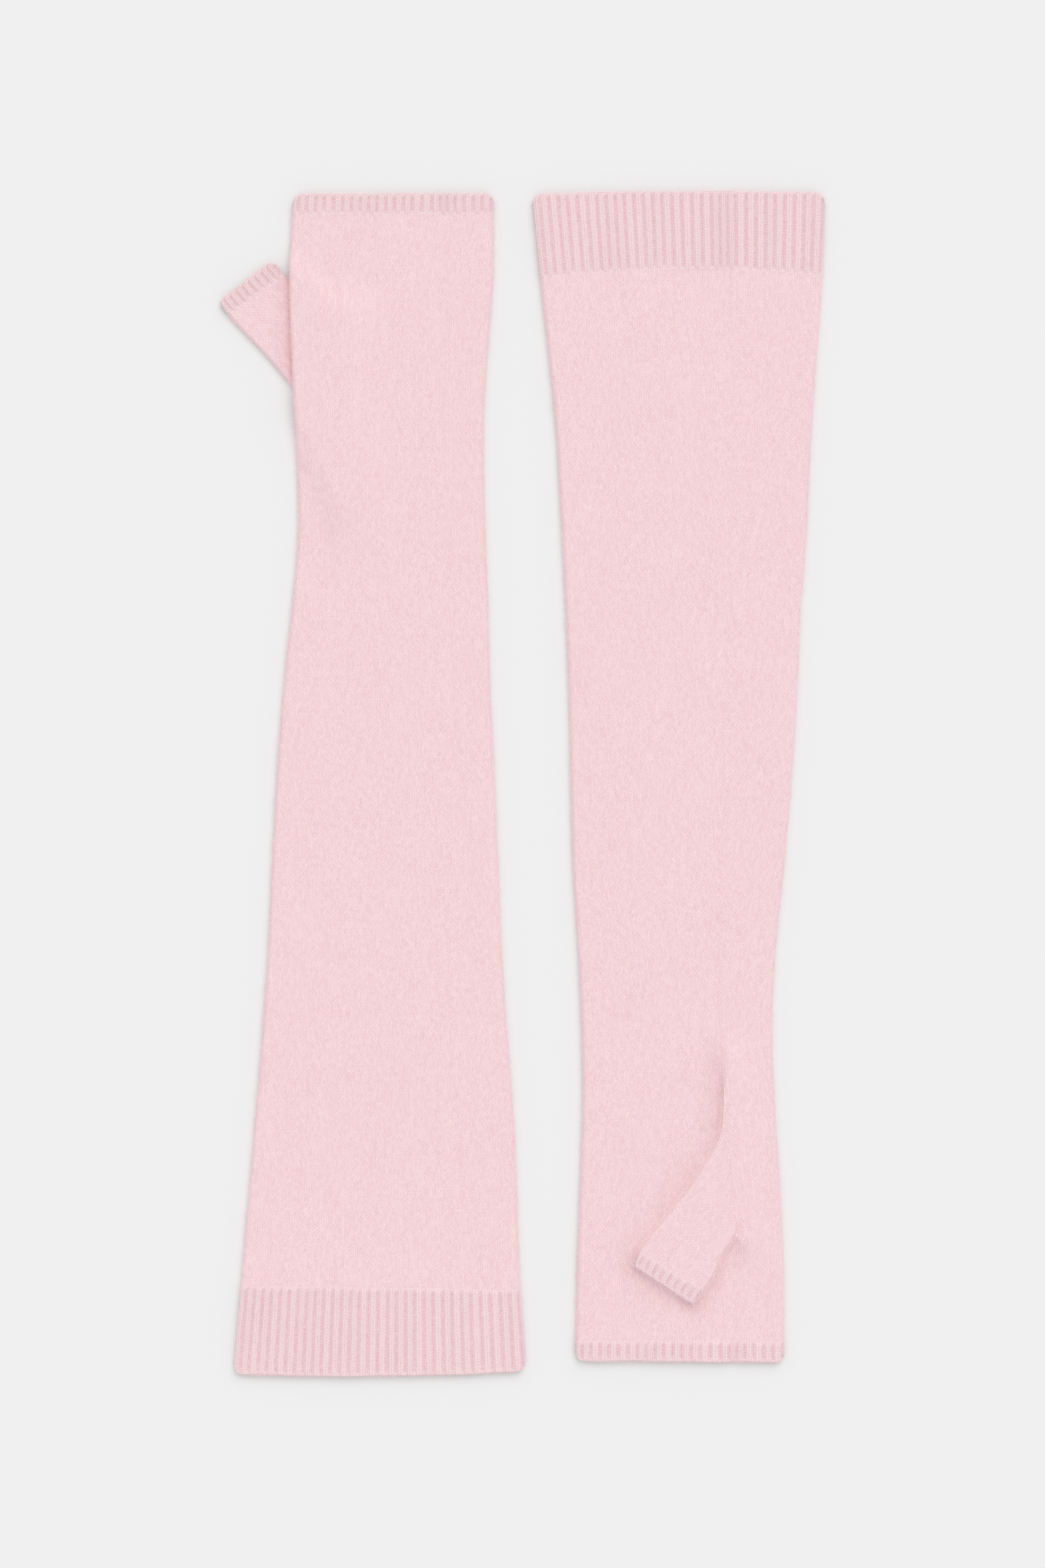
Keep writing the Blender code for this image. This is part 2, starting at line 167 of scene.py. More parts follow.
# %% What a glove knows
@dataclass
class Glove:
    name: str
    hand_hem_y: float
    heading: int
    length: float
    arm_rib_depth: float
    crotch: float
    heel: float
    thumb_beneath: bool
    rib_lean: float
    outline: Table
    bow: Table
    line: Table
    groove: Table
    spine: Table
    thumb: Table

    def left(self, station):
        return self.outline.smooth("left", station)

    def right(self, station):
        return self.outline.smooth("right", station)

    def line_x(self, station):
        return self.line.straight("x", station)

    def spine_x(self, station):
        return self.spine.smooth("x", station)

    def y(self, station):
        return self.hand_hem_y + self.heading * station

    def station(self, y):
        return (y - self.hand_hem_y) * self.heading

    def is_open(self, station):
        """Whether the tube is open along its line, where the thumb is knitted on."""
        return (station > self.crotch) & (station < self.heel)

    def row_offset(self, share, station):
        """The bow of a row of stitches: a parabola through its left, middle and right offsets."""
        left, middle, right = (self.bow.straight(name, station) for name in ("left", "middle", "right"))
        t = 2 * share - 1
        return middle + (right - left) / 2 * t + ((left + right) / 2 - middle) * t * t

    def thumb_fold(self, side, share):
        """Points in X and Y of the thumb's long side, l, or of its side at the crotch, r."""
        return np.stack([self.thumb.smooth(side + "x", share), self.thumb.smooth(side + "y", share)], -1)


# %% The two gloves
PALM_LINE = Table(
    "station x depth",
    (0, 86.3, 0.5), (52.5, 87.2, 0.3), (113.7, 82.2, 0.3), (155, 79.5, 0.5),
    (205, 80.3, 0.4), (260, 82.2, 0.3), (366, 84.4, 0.4), (479, 85.5, 0.3),
)
PALM_UP = Glove(
    name="palm_up",
    hand_hem_y=-236.7,
    heading=1,
    length=479.0,
    arm_rib_depth=33.0,
    crotch=52.5,
    heel=113.7,
    thumb_beneath=False,
    rib_lean=0.0,
    outline=Table(
        "station left right",
        (0, 21.8, 107.2), (42, 22.7, 106.8), (75, 23.8, 105.2), (100, 24.7, 103.6), (120, 24.8, 102.5),
        (145, 24.1, 102.3), (175, 22.6, 104.2), (205, 20.8, 107.3), (240, 19.9, 110.2), (280, 19.0, 112.7),
        (305, 18.0, 113.7), (340, 16.3, 116.3), (380, 14.0, 118.2), (445, 7.6, 122.6), (479, 4.2, 123.8),
    ),
    bow=Table(
        "station left middle right",
        (0, 0.3, 0.1, -0.3), (20, 0, 0, 0), (400, 0, 0, 0), (446, -2.6, 1.5, -1.3), (479, -1.0, 0.2, -0.4),
    ),
    line=PALM_LINE,
    groove=PALM_LINE,
    spine=Table("station x", (0, 64.5), (479, 64.0)),
    thumb=Table(
        "share lx ly rx ry",
        (0.0, 82.2, -123.0, 87.2, -184.2), (0.2, 80.8, -142.1, 84.1, -189.0),
        (0.4, 72.4, -158.5, 81.2, -193.9), (0.6, 61.6, -173.5, 78.8, -199.1),
        (0.8, 50.1, -187.7, 76.1, -204.0), (1.0, 45.1, -196.8, 70.2, -213.2),
    ),
)
BACK_UP = Glove(
    name="back_up",
    hand_hem_y=241.6,
    heading=-1,
    length=483.8,
    arm_rib_depth=36.0,
    crotch=52.5,
    heel=116.1,
    thumb_beneath=True,
    rib_lean=-0.065,
    outline=Table(
        "station left right",
        (0, -94.0, -12.0), (33, -95.3, -12.1), (55, -94.8, -13.7), (85, -93.5, -15.8), (110, -92.3, -16.1),
        (140, -91.8, -15.3), (165, -93.9, -14.4), (195, -97.1, -13.7), (230, -100.0, -12.0),
        (320, -104.8, -8.1), (390, -110.3, -3.2), (430, -113.8, -1.8), (483.8, -118.2, 1.0),
    ),
    bow=Table(
        "station left middle right",
        (0, 0.3, 0, -0.2), (20, 0, 0, 0), (400, 0, 0, 0), (448, -0.8, 0, 1.1), (483.8, -0.4, 0.3, -1.6),
    ),
    line=Table("station x", (0, -77.0), (52.5, -75.9), (116.1, -75.9), (195, -79.0), (483.8, -99.0)),
    groove=Table(
        "station x depth",
        (0, -33.6, 0), (62, -33.6, 0.3), (148, -33.0, 0.3), (220, -27.6, 0.2),
        (273, -22.9, 0.35), (391, -21.6, 0.35), (483.8, -20.0, 0),
    ),
    spine=Table(
        "station x",
        (0, -55.1), (64, -56.9), (98, -57.2), (132, -56.6), (200, -53.5),
        (269, -49.4), (337, -46.4), (405, -43.7), (483.8, -42.2),
    ),
    thumb=Table(
        "share lx ly rx ry",
        (0.0, -75.9, 125.5, -75.9, 189.1), (0.2, -84.0, 142.9, -80.8, 193.3),
        (0.4, -92.5, 159.7, -85.6, 197.5), (0.6, -104.4, 174.7, -90.5, 201.6),
        (0.8, -117.4, 188.5, -95.3, 205.8), (1.0, -124.7, 197.3, -102.6, 214.3),
    ),
)
GLOVES = (PALM_UP, BACK_UP)
for glove in GLOVES:
    arm_width = glove.right(glove.length) - glove.left(glove.length)
    print(glove.name, "length", glove.length, "mm, arm width", round(float(arm_width), 1), "mm")

# %% [markdown]
# ## Stitches
#
# On the knit side each stitch shows as a V of two leaning legs, whose point is towards the hand, and on
# the purl side as a small arch that bulges towards the arm. The stitches could be modelled as loops of
# yarn, but there are some forty thousand of them. As a height over the cloth they cost a few points each.

# %% Knit and purl
LEG_SLANT = 1.9
VALLEY = 0.4
RIB_VALLEY = -0.1
GAP_DEPTH = 0.66
ARCH_BULGE = 0.5
# painted glow on the shaded sides of the folds: its strength, its place in the tube's height, its half width
FOLD_LIGHT = 0.5
FOLD_LIGHT_AT = 0.42
FOLD_LIGHT_HALF = 0.2


def knit_stitch(wale, course, valley):
    """Height from 0 to 1 of knit stitches.

    With a the distance from the middle of the wale, each leg is a bump across, sin(2 pi a) over a filled
    valley, cut by gaps along it where the fraction of course - slant * a is near 0 or 1. So the legs lean
    away from the middle, and the gaps meet as small dark dots between them.
    """
    a = np.abs(wale - np.floor(wale) - 0.5)
    phase = course - LEG_SLANT * a
    gap = (2 * (phase - np.floor(phase)) - 1) ** 2
    gap = (gap + gap * gap) / 2
    return (valley + (1 - valley) * np.sin(2 * np.pi * a)) * (1 - GAP_DEPTH * gap)


def purl_stitch(wale, course):
    """Height from 0 to 1 of purl stitches: one arch in each fraction of course + 4 * bulge * a * a."""
    a = np.abs(wale - np.floor(wale) - 0.5)
    phase = course + ARCH_BULGE * 4 * a * a
    phase = phase - np.floor(phase)
    return (1 - (2 * phase - 1) ** 2) * (1 - 4 * a * a) ** 0.5


def painted_fold_glow(top_share):
    """Painted glow on a fold's shaded side, for light through its fuzz, by the share of the tube's height."""
    return FOLD_LIGHT * hill(top_share - FOLD_LIGHT_AT, FOLD_LIGHT_HALF)


crest = knit_stitch(0.25, 0.5 + LEG_SLANT / 4, VALLEY)
print("a knit leg is", round(float(crest), 2), "high at its crest,", knit_stitch(0.5, 0.5, VALLEY), "between")

# %% [markdown]
# ## From points to a wall of cloth
#
# Every piece is a wall with an outer skin, an inner skin and a rim round each open edge. A Solidify
# modifier could give the wall its thickness, but it would double every stitch on the hidden side. Here
# the inner skin takes only every few points of the outer one, and the rims are fans that join the two.
# Both skins are grids. Where a column of stitches ends, as at a line of narrowings, its points share one
# number, and the triangles that have no width are left out.


# %% Grids
class Skin(NamedTuple):
    """A grid of points: ids gives each corner's point number, and wool its wale, course and painted shade."""

    ids: np.ndarray
    points: np.ndarray
    wool: np.ndarray


def ring_ids(rows, columns):
    """Point numbers of a closed ring's grid, whose last column is the first one again."""
    ids = np.arange(rows * columns).reshape(rows, columns)
    return np.concatenate([ids, ids[:, :1]], axis=1)


def grid_triangles(ids):
    """Corner numbers of a grid's triangles, without those of which two corners are the same point."""
    corner = np.arange(ids.size).reshape(ids.shape)
    a, b, c, d = corner[:-1, :-1], corner[:-1, 1:], corner[1:, 1:], corner[1:, :-1]
    triangles = np.concatenate([np.stack(three, -1).reshape(-1, 3) for three in ([a, b, c], [a, c, d])])
    point = ids.ravel()[triangles]
    keep = (point[:, 0] != point[:, 1]) & (point[:, 1] != point[:, 2]) & (point[:, 2] != point[:, 0])
    return triangles[keep]


def edges_of(triangles):
    """The three edges of every triangle, each in that triangle's own direction."""
    return np.concatenate([triangles[:, [0, 1]], triangles[:, [1, 2]], triangles[:, [2, 0]]])


def edge_keys(edges, count):
    """One number for each edge, the same in both directions, in a mesh of so many points."""
    return np.sort(edges.astype(np.int64), axis=1) @ [count, 1]


def only_once(edges, count):
    """The rows of the edges that only one triangle has."""
    _, first, times = np.unique(edge_keys(edges, count), return_index=True, return_counts=True)
    return first[times == 1]


print("a grid of 2 by 2 cells has", len(grid_triangles(np.arange(9).reshape(3, 3))), "triangles")


# %% Meshes
def volume(points, faces):
    """Volume inside a closed mesh, below 0 where its triangles face inward."""
    corner = points[faces]
    return np.einsum("ij,ij->i", corner[:, 0], np.cross(corner[:, 1], corner[:, 2])).sum() / 6


def new_piece(name, points, faces, material):
    """An object at the origin, from points in millimetres and triangles."""
    mesh = bpy.data.meshes.new(name)
    mesh.vertices.add(len(points))
    mesh.vertices.foreach_set("co", (points * MM).ravel())
    mesh.loops.add(faces.size)
    mesh.loops.foreach_set("vertex_index", faces.ravel().astype(np.int32))
    mesh.polygons.add(len(faces))
    mesh.polygons.foreach_set("loop_start", np.arange(0, faces.size, 3, dtype=np.int32))
    mesh.update(calc_edges=True)
    mesh.materials.append(material)
    piece = bpy.data.objects.new(name, mesh)
    bpy.context.scene.collection.objects.link(piece)
    print(f"{name}: {len(faces)} triangles, {volume(points, faces) * MM:.2f} cm3 of wool")
    return piece


def sharpen(mesh, pairs):
    """Marks the edges between pairs of points as sharp, so that a rim leaves the skins' shading alone."""
    ends = np.empty(len(mesh.edges) * 2, np.int32)
    mesh.edges.foreach_get("vertices", ends)
    count = len(mesh.vertices)
    sharp = np.isin(edge_keys(ends.reshape(-1, 2), count), edge_keys(pairs, count))
    mesh.edges.foreach_set("use_edge_sharp", sharp)


def make_wall(name, outer, inner, partner, material):
    """One closed wall from two skins, where partner gives the inner point of each outer point.

    The rim's corners take their wool from the outer skin, so the pattern doesn't jump across it.
    """
    outer_corners = grid_triangles(outer.ids)
    inner_corners = grid_triangles(inner.ids)[:, ::-1]
    outer_faces = outer.ids.ravel()[outer_corners]
    shift = len(outer.points)
    inner_faces = inner.ids.ravel()[inner_corners] + shift
    rim = only_once(edges_of(outer_faces), shift)
    a, b = edges_of(outer_faces)[rim].T
    corner_a, corner_b = edges_of(outer_corners)[rim].T
    pa, pb = partner[a] + shift, partner[b] + shift
    wide = pa != pb
    rims = np.concatenate([np.stack([b, a, pa], 1), np.stack([b, pa, pb], 1)[wide]])
    rim_corners = np.concatenate([
        np.stack([corner_b, corner_a, corner_a], 1),
        np.stack([corner_b, corner_a, corner_b], 1)[wide],
    ])
    faces = np.concatenate([outer_faces, inner_faces, rims])
    points = np.concatenate([outer.points, inner.points])
    wool = np.concatenate([outer.wool[outer_corners], inner.wool[inner_corners], outer.wool[rim_corners]])
    if volume(points, faces) < 0:
        faces, wool = faces[:, ::-1], wool[:, ::-1]
    piece = new_piece(name, points, faces, material)
    piece.data.shade_smooth()
    sharpen(piece.data, np.concatenate([np.stack([a, b], 1), np.stack([pa, pb], 1)]))
    knit = piece.data.uv_layers.new(name="knit")
    knit.uv.foreach_set("vector", wool[..., :2].ravel().astype(np.float32))
    # painted shade of each corner, and below 0 a painted glow
    painted_shade = piece.data.attributes.new("painted_shade", "FLOAT", "CORNER")
    painted_shade.data.foreach_set("value", wool[..., 2].ravel().astype(np.float32))
    return piece


def make_solid(name, points, faces, material):
    """A piece of many small closed solids."""
    if volume(points, faces) < 0:
        faces = faces[:, ::-1]
    return new_piece(name, points, faces, material)


print("wall maker ready")

# %% [markdown]
# ## Shader sums
#
# A pattern in a material is arithmetic on positions. Written as Python expressions it reads like the
# formulas above: this small class stands for one value in the node tree, and adding or multiplying two
# of them adds a Math node.


# %% Values and nodes
class Value:
    """One number in a material: an output socket, or the result of sums on such sockets."""

    def __init__(self, recipe, socket):
        self.recipe = recipe
        self.socket = socket

    def math(self, operation, *others):
        return self.recipe.value("ShaderNodeMath", {"operation": operation}, self, *others)

    def __add__(self, other):
        return self.math("ADD", other)

    __radd__ = __add__

    def __mul__(self, other):
        return self.math("MULTIPLY", other)

    __rmul__ = __mul__

    def __sub__(self, other):
        return self.math("SUBTRACT", other)

    def __rsub__(self, other):
        return self.recipe.value("ShaderNodeMath", {"operation": "SUBTRACT"}, other, self)

    def fraction(self):
        return self.math("FRACT")

    def floor(self):
        return self.math("FLOOR")

    def size(self):
        return self.math("ABSOLUTE")

    def sign(self):
        return self.math("SIGN")

    def more_than(self, edge):
        return self.math("GREATER_THAN", edge)

    def sine(self):
        return self.math("SINE")

    def clamped(self):
        return self.recipe.value("ShaderNodeClamp", {}, self, 0.0, 1.0)


class Recipe:
    """One material's node tree, with a method that adds any node."""

    def __init__(self, name):
        self.material = bpy.data.materials.new(name)
        self.material.use_nodes = True
        self.tree = self.material.node_tree

    def plug(self, socket, given):
        if isinstance(given, Value):
            self.tree.links.new(given.socket, socket)
        else:
            socket.default_value = given

    def fill(self, node, sockets):
        """Gives a node's sockets values or links, by order or by name, where _ stands for a space."""
        for key, given in sockets:
            self.plug(node.inputs[key.replace("_", " ") if isinstance(key, str) else key], given)

    def node(self, kind, settings, *inputs, **named):
        """Adds a node, sets its settings, then fills its sockets."""
        node = self.tree.nodes.new(kind)
        for key, setting in settings.items():
            setattr(node, key, setting)
        self.fill(node, [*enumerate(inputs), *named.items()])
        return node

    def value(self, kind, settings, *inputs, output=0, **named):
        return Value(self, self.node(kind, settings, *inputs, **named).outputs[output])

    def noise(self, per_metre, detail=2.0):
        """Soft unevenness from 0 to 1, on the piece's own place."""
        place = self.value("ShaderNodeTexCoord", {}, output="Object")
        return self.value("ShaderNodeTexNoise", {}, Vector=place, Scale=per_metre, Detail=detail)

    def mix(self, share, low, high):
        """A colour that goes from low to high with share."""
        node = self.node("ShaderNodeMix", {"data_type": "RGBA"})
        for name, given in (("Factor_Float", share), ("A_Color", low), ("B_Color", high)):
            self.plug(next(s for s in node.inputs if s.identifier == name), given)
        return Value(self, next(s for s in node.outputs if s.identifier == "Result_Color"))

    def finish(self, **sockets):
        """Fills the shader's own sockets and gives the material."""
        self.fill(self.tree.nodes["Principled BSDF"], sockets.items())
        return self.material


print("shader helpers ready")

# %% [markdown]
# ## The wool
#
# The yarn is a pale pink with a soft nap. Its colour holds painted light: the crests are painted paler, a
# painted highlight where light catches the fibres, and the recesses between stitches are painted deeper and
# more saturated, a painted shade for light that gets there and has bounced off pink. A value on each corner
# gives that painted shade where stitches are real geometry, and below 0 it is a painted glow on the shaded
# sides of the folds, for light that comes through the thin fuzz. The long tube has more stitches than
# points, so there the knit formula is repeated in the material as bump and as painted shade in its colour.

# %% Wool
# painted highlight and painted shade: the lit pink of the crests and the shaded pink of the recesses
PAINTED_LIT_PINK = (0.915, 0.706, 0.722, 1.0)
PAINTED_SHADE_PINK = (0.755, 0.476, 0.514, 1.0)
SHEEN_PINK = (1.0, 0.9, 0.9, 1.0)
NO_LIGHT = (0.0, 0.0, 0.0, 1.0)
# strength of the painted glow, given off where the corner value is below 0
PAINTED_GLOW_STRENGTH = 0.5
ROUGHNESS = 0.92
SHEEN = 0.5
SHINE = 0.15
PER_METRE_MOTTLE = 70.0
PER_METRE_UNEVEN = 420.0
PER_METRE_FUZZ = 2400.0
MOTTLE_DETAIL = 3.0
WALE_WANDER = 0.35
SLOW_COURSE_WANDER = 1.2
QUICK_COURSE_WANDER = 0.4
TONE_DRIFT = 0.2
LEG_VARIATION = 0.3
PURL_VARIATION = 0.35
PURL_RANGE = 0.55
FUZZ_HEIGHT = 0.5


class StitchShading(NamedTuple):
    """How a fabric's stitches are drawn in its material: as a bump, and as painted shade in its colour.

    The valley and the gaps are as in the knit formula. The third field, the shade of a stitch, is how much
    painted shade deepens the pink where a stitch is low, at_crest the painted shade that this starts from,
    grain how much the fuzz changes it, loose how freely the stitches wander, and relief the depth of the
    bump in millimetres.
    """

    valley: float
    gap_depth: float
    tone: float
    at_crest: float
    grain: float
    loose: float
    relief: float


PLAIN_SHADING = StitchShading(VALLEY, GAP_DEPTH, tone=0.62, at_crest=0.7, grain=1.45, loose=1.0, relief=0.15)
RIB_SHADING = StitchShading(RIB_VALLEY, gap_depth=0.86, tone=1.5, at_crest=0.5, grain=2.8, loose=0.5, relief=0.18)


def stitch_in_material(recipe, look, mottle, uneven):
    """The stitch formulas on the piece's own wale and course map, and a number for each leg from 0 to 1."""
    knit_map = recipe.value("ShaderNodeUVMap", {"uv_map": "knit"})
    split = recipe.node("ShaderNodeSeparateXYZ", {}, knit_map)
    straight_wale = Value(recipe, split.outputs["X"])
    wale = straight_wale + (uneven - 0.5) * (WALE_WANDER * look.loose)
    course = Value(recipe, split.outputs["Y"]) + (mottle - 0.5) * (SLOW_COURSE_WANDER * look.loose)
    course = course + (uneven - 0.5) * QUICK_COURSE_WANDER
    from_middle = wale.fraction() - 0.5
    a = from_middle.size()
    step = course - LEG_SLANT * a
    gap = step.fraction() * 2 - 1
    gap = gap * gap
    gap = (gap + gap * gap) * 0.5
    knit = (look.valley + (1 - look.valley) * (a * (2 * np.pi)).sine()) * (1 - look.gap_depth * gap)
    leg = recipe.value("ShaderNodeCombineXYZ", {}, wale.floor(), step.floor(), from_middle.sign())
    own_tone = recipe.value("ShaderNodeTexWhiteNoise", {"noise_dimensions": "3D"}, Vector=leg)
    if look is PLAIN_SHADING:
        return knit, own_tone
    arch = (course * 2 + a * a * (4 * ARCH_BULGE)).fraction() * 2 - 1
    purl = PURL_RANGE * (1 - arch * arch)
    is_knit = (straight_wale * 0.5).fraction().more_than(0.5)
    own_tone = 0.5 + (own_tone - 0.5) * (PURL_VARIATION + (1 - PURL_VARIATION) * is_knit)
    return purl + (knit - purl) * is_knit, own_tone


def wool(name, look):
    recipe = Recipe(name)
    # painted shade of each corner, and below 0 a painted glow
    painted_shade = recipe.value("ShaderNodeAttribute", {"attribute_name": "painted_shade"}, output="Fac")
    mottle = recipe.noise(PER_METRE_MOTTLE, MOTTLE_DETAIL)
    uneven = recipe.noise(PER_METRE_UNEVEN)
    fuzz = recipe.noise(PER_METRE_FUZZ)
    stitch, own_tone = stitch_in_material(recipe, look, mottle, uneven)
    # the mix towards the shaded pink: painted shade from the corners and from the low parts of the stitches,
    # with colour that differs at random from the mottle, the fuzz and each leg
    depth = painted_shade + (mottle - 0.5) * TONE_DRIFT + (uneven - 0.5) * TONE_DRIFT + (fuzz - 0.5) * look.grain
    depth = depth + look.at_crest - stitch * look.tone + (own_tone - 0.5) * LEG_VARIATION
    height = stitch + fuzz * FUZZ_HEIGHT
    print(name, "has", len(recipe.tree.nodes), "nodes so far")
    return recipe.finish(
        Base_Color=recipe.mix(depth.clamped(), PAINTED_LIT_PINK, PAINTED_SHADE_PINK),
        Normal=recipe.value("ShaderNodeBump", {}, Strength=1.0, Distance=look.relief * MM, Height=height),
        Roughness=ROUGHNESS,
        Specular_IOR_Level=SHINE,
        Sheen_Weight=SHEEN,
        Sheen_Roughness=SHEEN,
        Sheen_Tint=SHEEN_PINK,
        # painted glow: where the corner value is below 0 the wool gives off the lit pink
        Emission_Color=recipe.mix((0 - painted_shade).clamped(), NO_LIGHT, PAINTED_LIT_PINK),
        Emission_Strength=PAINTED_GLOW_STRENGTH,
    )


plain_wool = wool("fine_knit", PLAIN_SHADING)
rib_wool = wool("rib_knit", RIB_SHADING)

# %% [markdown]
# ## How the cloth lies over a thumb
#
# The thumb is knitted on along the line of narrowings. On the palm-up glove the cloth right of that line
# stands one thumb's height above the rest, then ramps down, and on the back-up glove the whole hand is
# draped over the thumb beneath it. These are the same steps and ramps as in the imported solids. Where the
# thumb lies on the palm, the palm rises softly to its fold, and the corner between them is painted a deeper
# pink, a painted shade.

# %% Where the cloth is lifted
RAMP_START = 2.0
THUMB_SLANT_CROTCH = 16.5
THUMB_SLANT_HEEL = 37.0
MARGIN_AT_CROTCH = 2.5
MARGIN_AT_HEEL = 6.5
COVER_FADE = 15.0
RISER_MARGIN = 1.2
FADE_TO_HAND = 14.0
FADE_TO_ARM = 26.0
STEP_SPREAD = 2.4
FLAT_SPREAD = 12.0


def ramp(beyond, length):
    """Soft fall of the lifted cloth to the right of the thumb's root."""
    return 1 - ease((beyond - RAMP_START) / length)


def cover(share_to_edge, station, glove, fade_to_arm=COVER_FADE):
    """How far the cloth is lifted by a thumb beneath it, from 0 to 1."""
    near = glove.crotch - THUMB_SLANT_CROTCH * share_to_edge - MARGIN_AT_CROTCH
    far = glove.heel - THUMB_SLANT_HEEL * share_to_edge + MARGIN_AT_HEEL
    rising = ease((station - near + COVER_FADE) / COVER_FADE)
    return rising * ease((far + fade_to_arm - station) / fade_to_arm)


def palm_full(glove, station):
    """How far the step at the palm-up glove's root line stands, from 0 to 1."""
    rising = ease((station - (glove.crotch - RISER_MARGIN) + FADE_TO_HAND) / FADE_TO_HAND)
    return rising * ease((glove.heel + RISER_MARGIN + FADE_TO_ARM - station) / FADE_TO_ARM)


def slope_width(full):
    """How wide the step's slope is: narrow where the step is whole, and wider as it fades out."""
    return STEP_SPREAD + FLAT_SPREAD * (1 - full) ** 0.5


def step_side(glove, distance, station, full, side, is_open):
    """0 before the root line and 1 beyond it: a soft slope, or a clean cut where the thumb opens.

    Each end of the opening is as round as the thumb's folds: half high there, whole one radius further in.
    """
    slope = ease(0.5 + distance / slope_width(full))
    inward = np.minimum(station - glove.crotch, glove.heel - station) / THUMB_FOLD
    corner = 0.5 + 0.5 * np.sqrt(1 - (1 - np.clip(inward, 0, 1)) ** 2)
    return np.where(is_open, (side > 0) * np.maximum(slope, corner), slope)


print("the palm's step is", slope_width(1.0), "mm wide where whole and", slope_width(0.0), "at its ends")

# %% Beside the thumb
FOLD_POINTS = 40
PALM_RISE = 1.7
RISE_AT = 0.1
RISE_INSIDE = 0.4
RISE_OUTSIDE = 1.9
RISE_TIP_FADE = 9.0
TROUGH_DEPTH = 0.35
TROUGH_AT = -6.5
TROUGH_WIDTH = 4.5


def depth_in_thumb(glove, x, station):
    """Distance in from the thumb's edge as seen from above, below 0 outside it.

    A place is inside where a line from it along X crosses the edge an odd number of times.
    """
    y = glove.y(station)
    share = np.linspace(0, 1, FOLD_POINTS)
    long_side = glove.thumb_fold("l", share)
    path = np.concatenate([long_side, glove.thumb_fold("r", share)[::-1], long_side[:1]])
    nearest = np.full(x.shape, np.inf)
    inside = np.zeros(x.shape, bool)
    root_side = len(path) - 2
    for number, (start, end) in enumerate(zip(path[:-1], path[1:])):
        run = end - start
        crosses = (start[1] > y) != (end[1] > y)
        inside ^= crosses & (x < start[0] + run[0] * (y - start[1]) / (run[1] or 1.0))
        if number < root_side:
            along = np.clip(((x - start[0]) * run[0] + (y - start[1]) * run[1]) / (run @ run), 0, 1)
            away = np.hypot(x - start[0] - along * run[0], y - start[1] - along * run[1])
            nearest = np.minimum(nearest, away)
    return np.where(inside, nearest, -nearest)


def palm_by_thumb(glove, x, station):
    """How the palm meets the thumb that lies on it: it rises softly to the thumb's fold from a wide trough.

    The rise fades out round the two corners of the tip, whose ribs are lower and rounded.
    """
    deep = depth_in_thumb(glove, x, station)
    beyond = deep - RISE_AT
    rise = PALM_RISE * hill(beyond, np.where(beyond > 0, RISE_INSIDE, RISE_OUTSIDE))
    corners = (glove.thumb_fold(side, 1.0) for side in "lr")
    to_corner = np.minimum(*(np.hypot(x - at[0], glove.y(station) - at[1]) for at in corners))
    rise = rise * ease(to_corner / RISE_TIP_FADE)
    return rise - TROUGH_DEPTH * hill(deep - TROUGH_AT, TROUGH_WIDTH)


middle = (PALM_UP.thumb_fold("l", 0.5) + PALM_UP.thumb_fold("r", 0.5)) / 2
deep = depth_in_thumb(PALM_UP, middle[:1], PALM_UP.station(middle[1]))
print("the middle of the palm-up thumb lies", round(float(deep[0]), 1), "mm in from its edge")

# %% Painted shade and glow beside the thumb
# painted shade beside the thumb, also on the back-up thumb by the glove's edge
SHADE = 0.46
SHADE_REACH = 4.2
# painted glow right under the thumb's fold
FOLD_GLOW = 0.6
FOLD_GLOW_HALF = 0.8
FOLD_GLOW_FADE = 8.0


def shade_by_thumb(glove, x, station, top_share):
    """Painted shade, a deeper pink from 0 to 1, on the palm next to the thumb and next to the step above it.

    It stands for light that gets into this corner and has bounced between two pink walls. It falls off as
    exp(-distance / reach). Right under the thumb's fold it goes below 0, a painted glow that lightens the
    dark crease there, for light that the thin fuzz lets through.
    """
    deep = depth_in_thumb(glove, x, station)
    beyond = x - glove.line_x(station)
    full = palm_full(glove, station)
    by_thumb = np.exp(np.minimum(deep, 0) / SHADE_REACH)
    by_step = full * np.exp(np.minimum(beyond, 0) / SHADE_REACH) * (station > glove.heel)
    glow = FOLD_GLOW * hill(deep, FOLD_GLOW_HALF) * ease((glove.heel - station) / FOLD_GLOW_FADE)
    shade = SHADE * np.maximum(by_thumb, by_step) * (1 - ease(0.5 + beyond / slope_width(full)))
    return (shade - glow) * ease(2 * top_share - 1)


print("the shade fades by", round(100 * (1 - np.exp(-1))), "% with every", SHADE_REACH, "mm")

# %% Both layers
PALM_RAMP = 14.0
BACK_RAMP = 24.0
GROOVE_HALF = 2.2
DRAPE_TO_ARM = 30.0
DRAPE_DEPTH = 0.16
DRAPE_START = 2.0
DRAPE_FADE = 10.0
DRAPE_AT = -1.5
DRAPE_WIDTH = 2.2


def lifts(glove, x, station, side, is_open):
    """Lift of the underside and of the top at a place: two arrays."""
    line = glove.line_x(station)
    if glove.thumb_beneath:
        share = np.clip((line - x) / (line - glove.left(station)), 0, 1)
        under = step_side(glove, line - x, station, cover(0.0, station, glove), -side, is_open)
        drape = cover(share, station, glove, DRAPE_TO_ARM) * ramp(x - line, BACK_RAMP)
        dip = hill(depth_in_thumb(glove, x, station) - DRAPE_AT, DRAPE_WIDTH)
        dip = DRAPE_DEPTH * dip * ease((line - x - DRAPE_START) / DRAPE_FADE)
        return STEP * cover(share, station, glove) * under, STEP * drape - dip
    full = palm_full(glove, station)
    beyond = step_side(glove, x - line, station, full, side, is_open)
    palm = palm_by_thumb(glove, x, station) * (1 - beyond)
    return np.zeros_like(x), STEP * full * beyond * ramp(x - line, PALM_RAMP) + palm


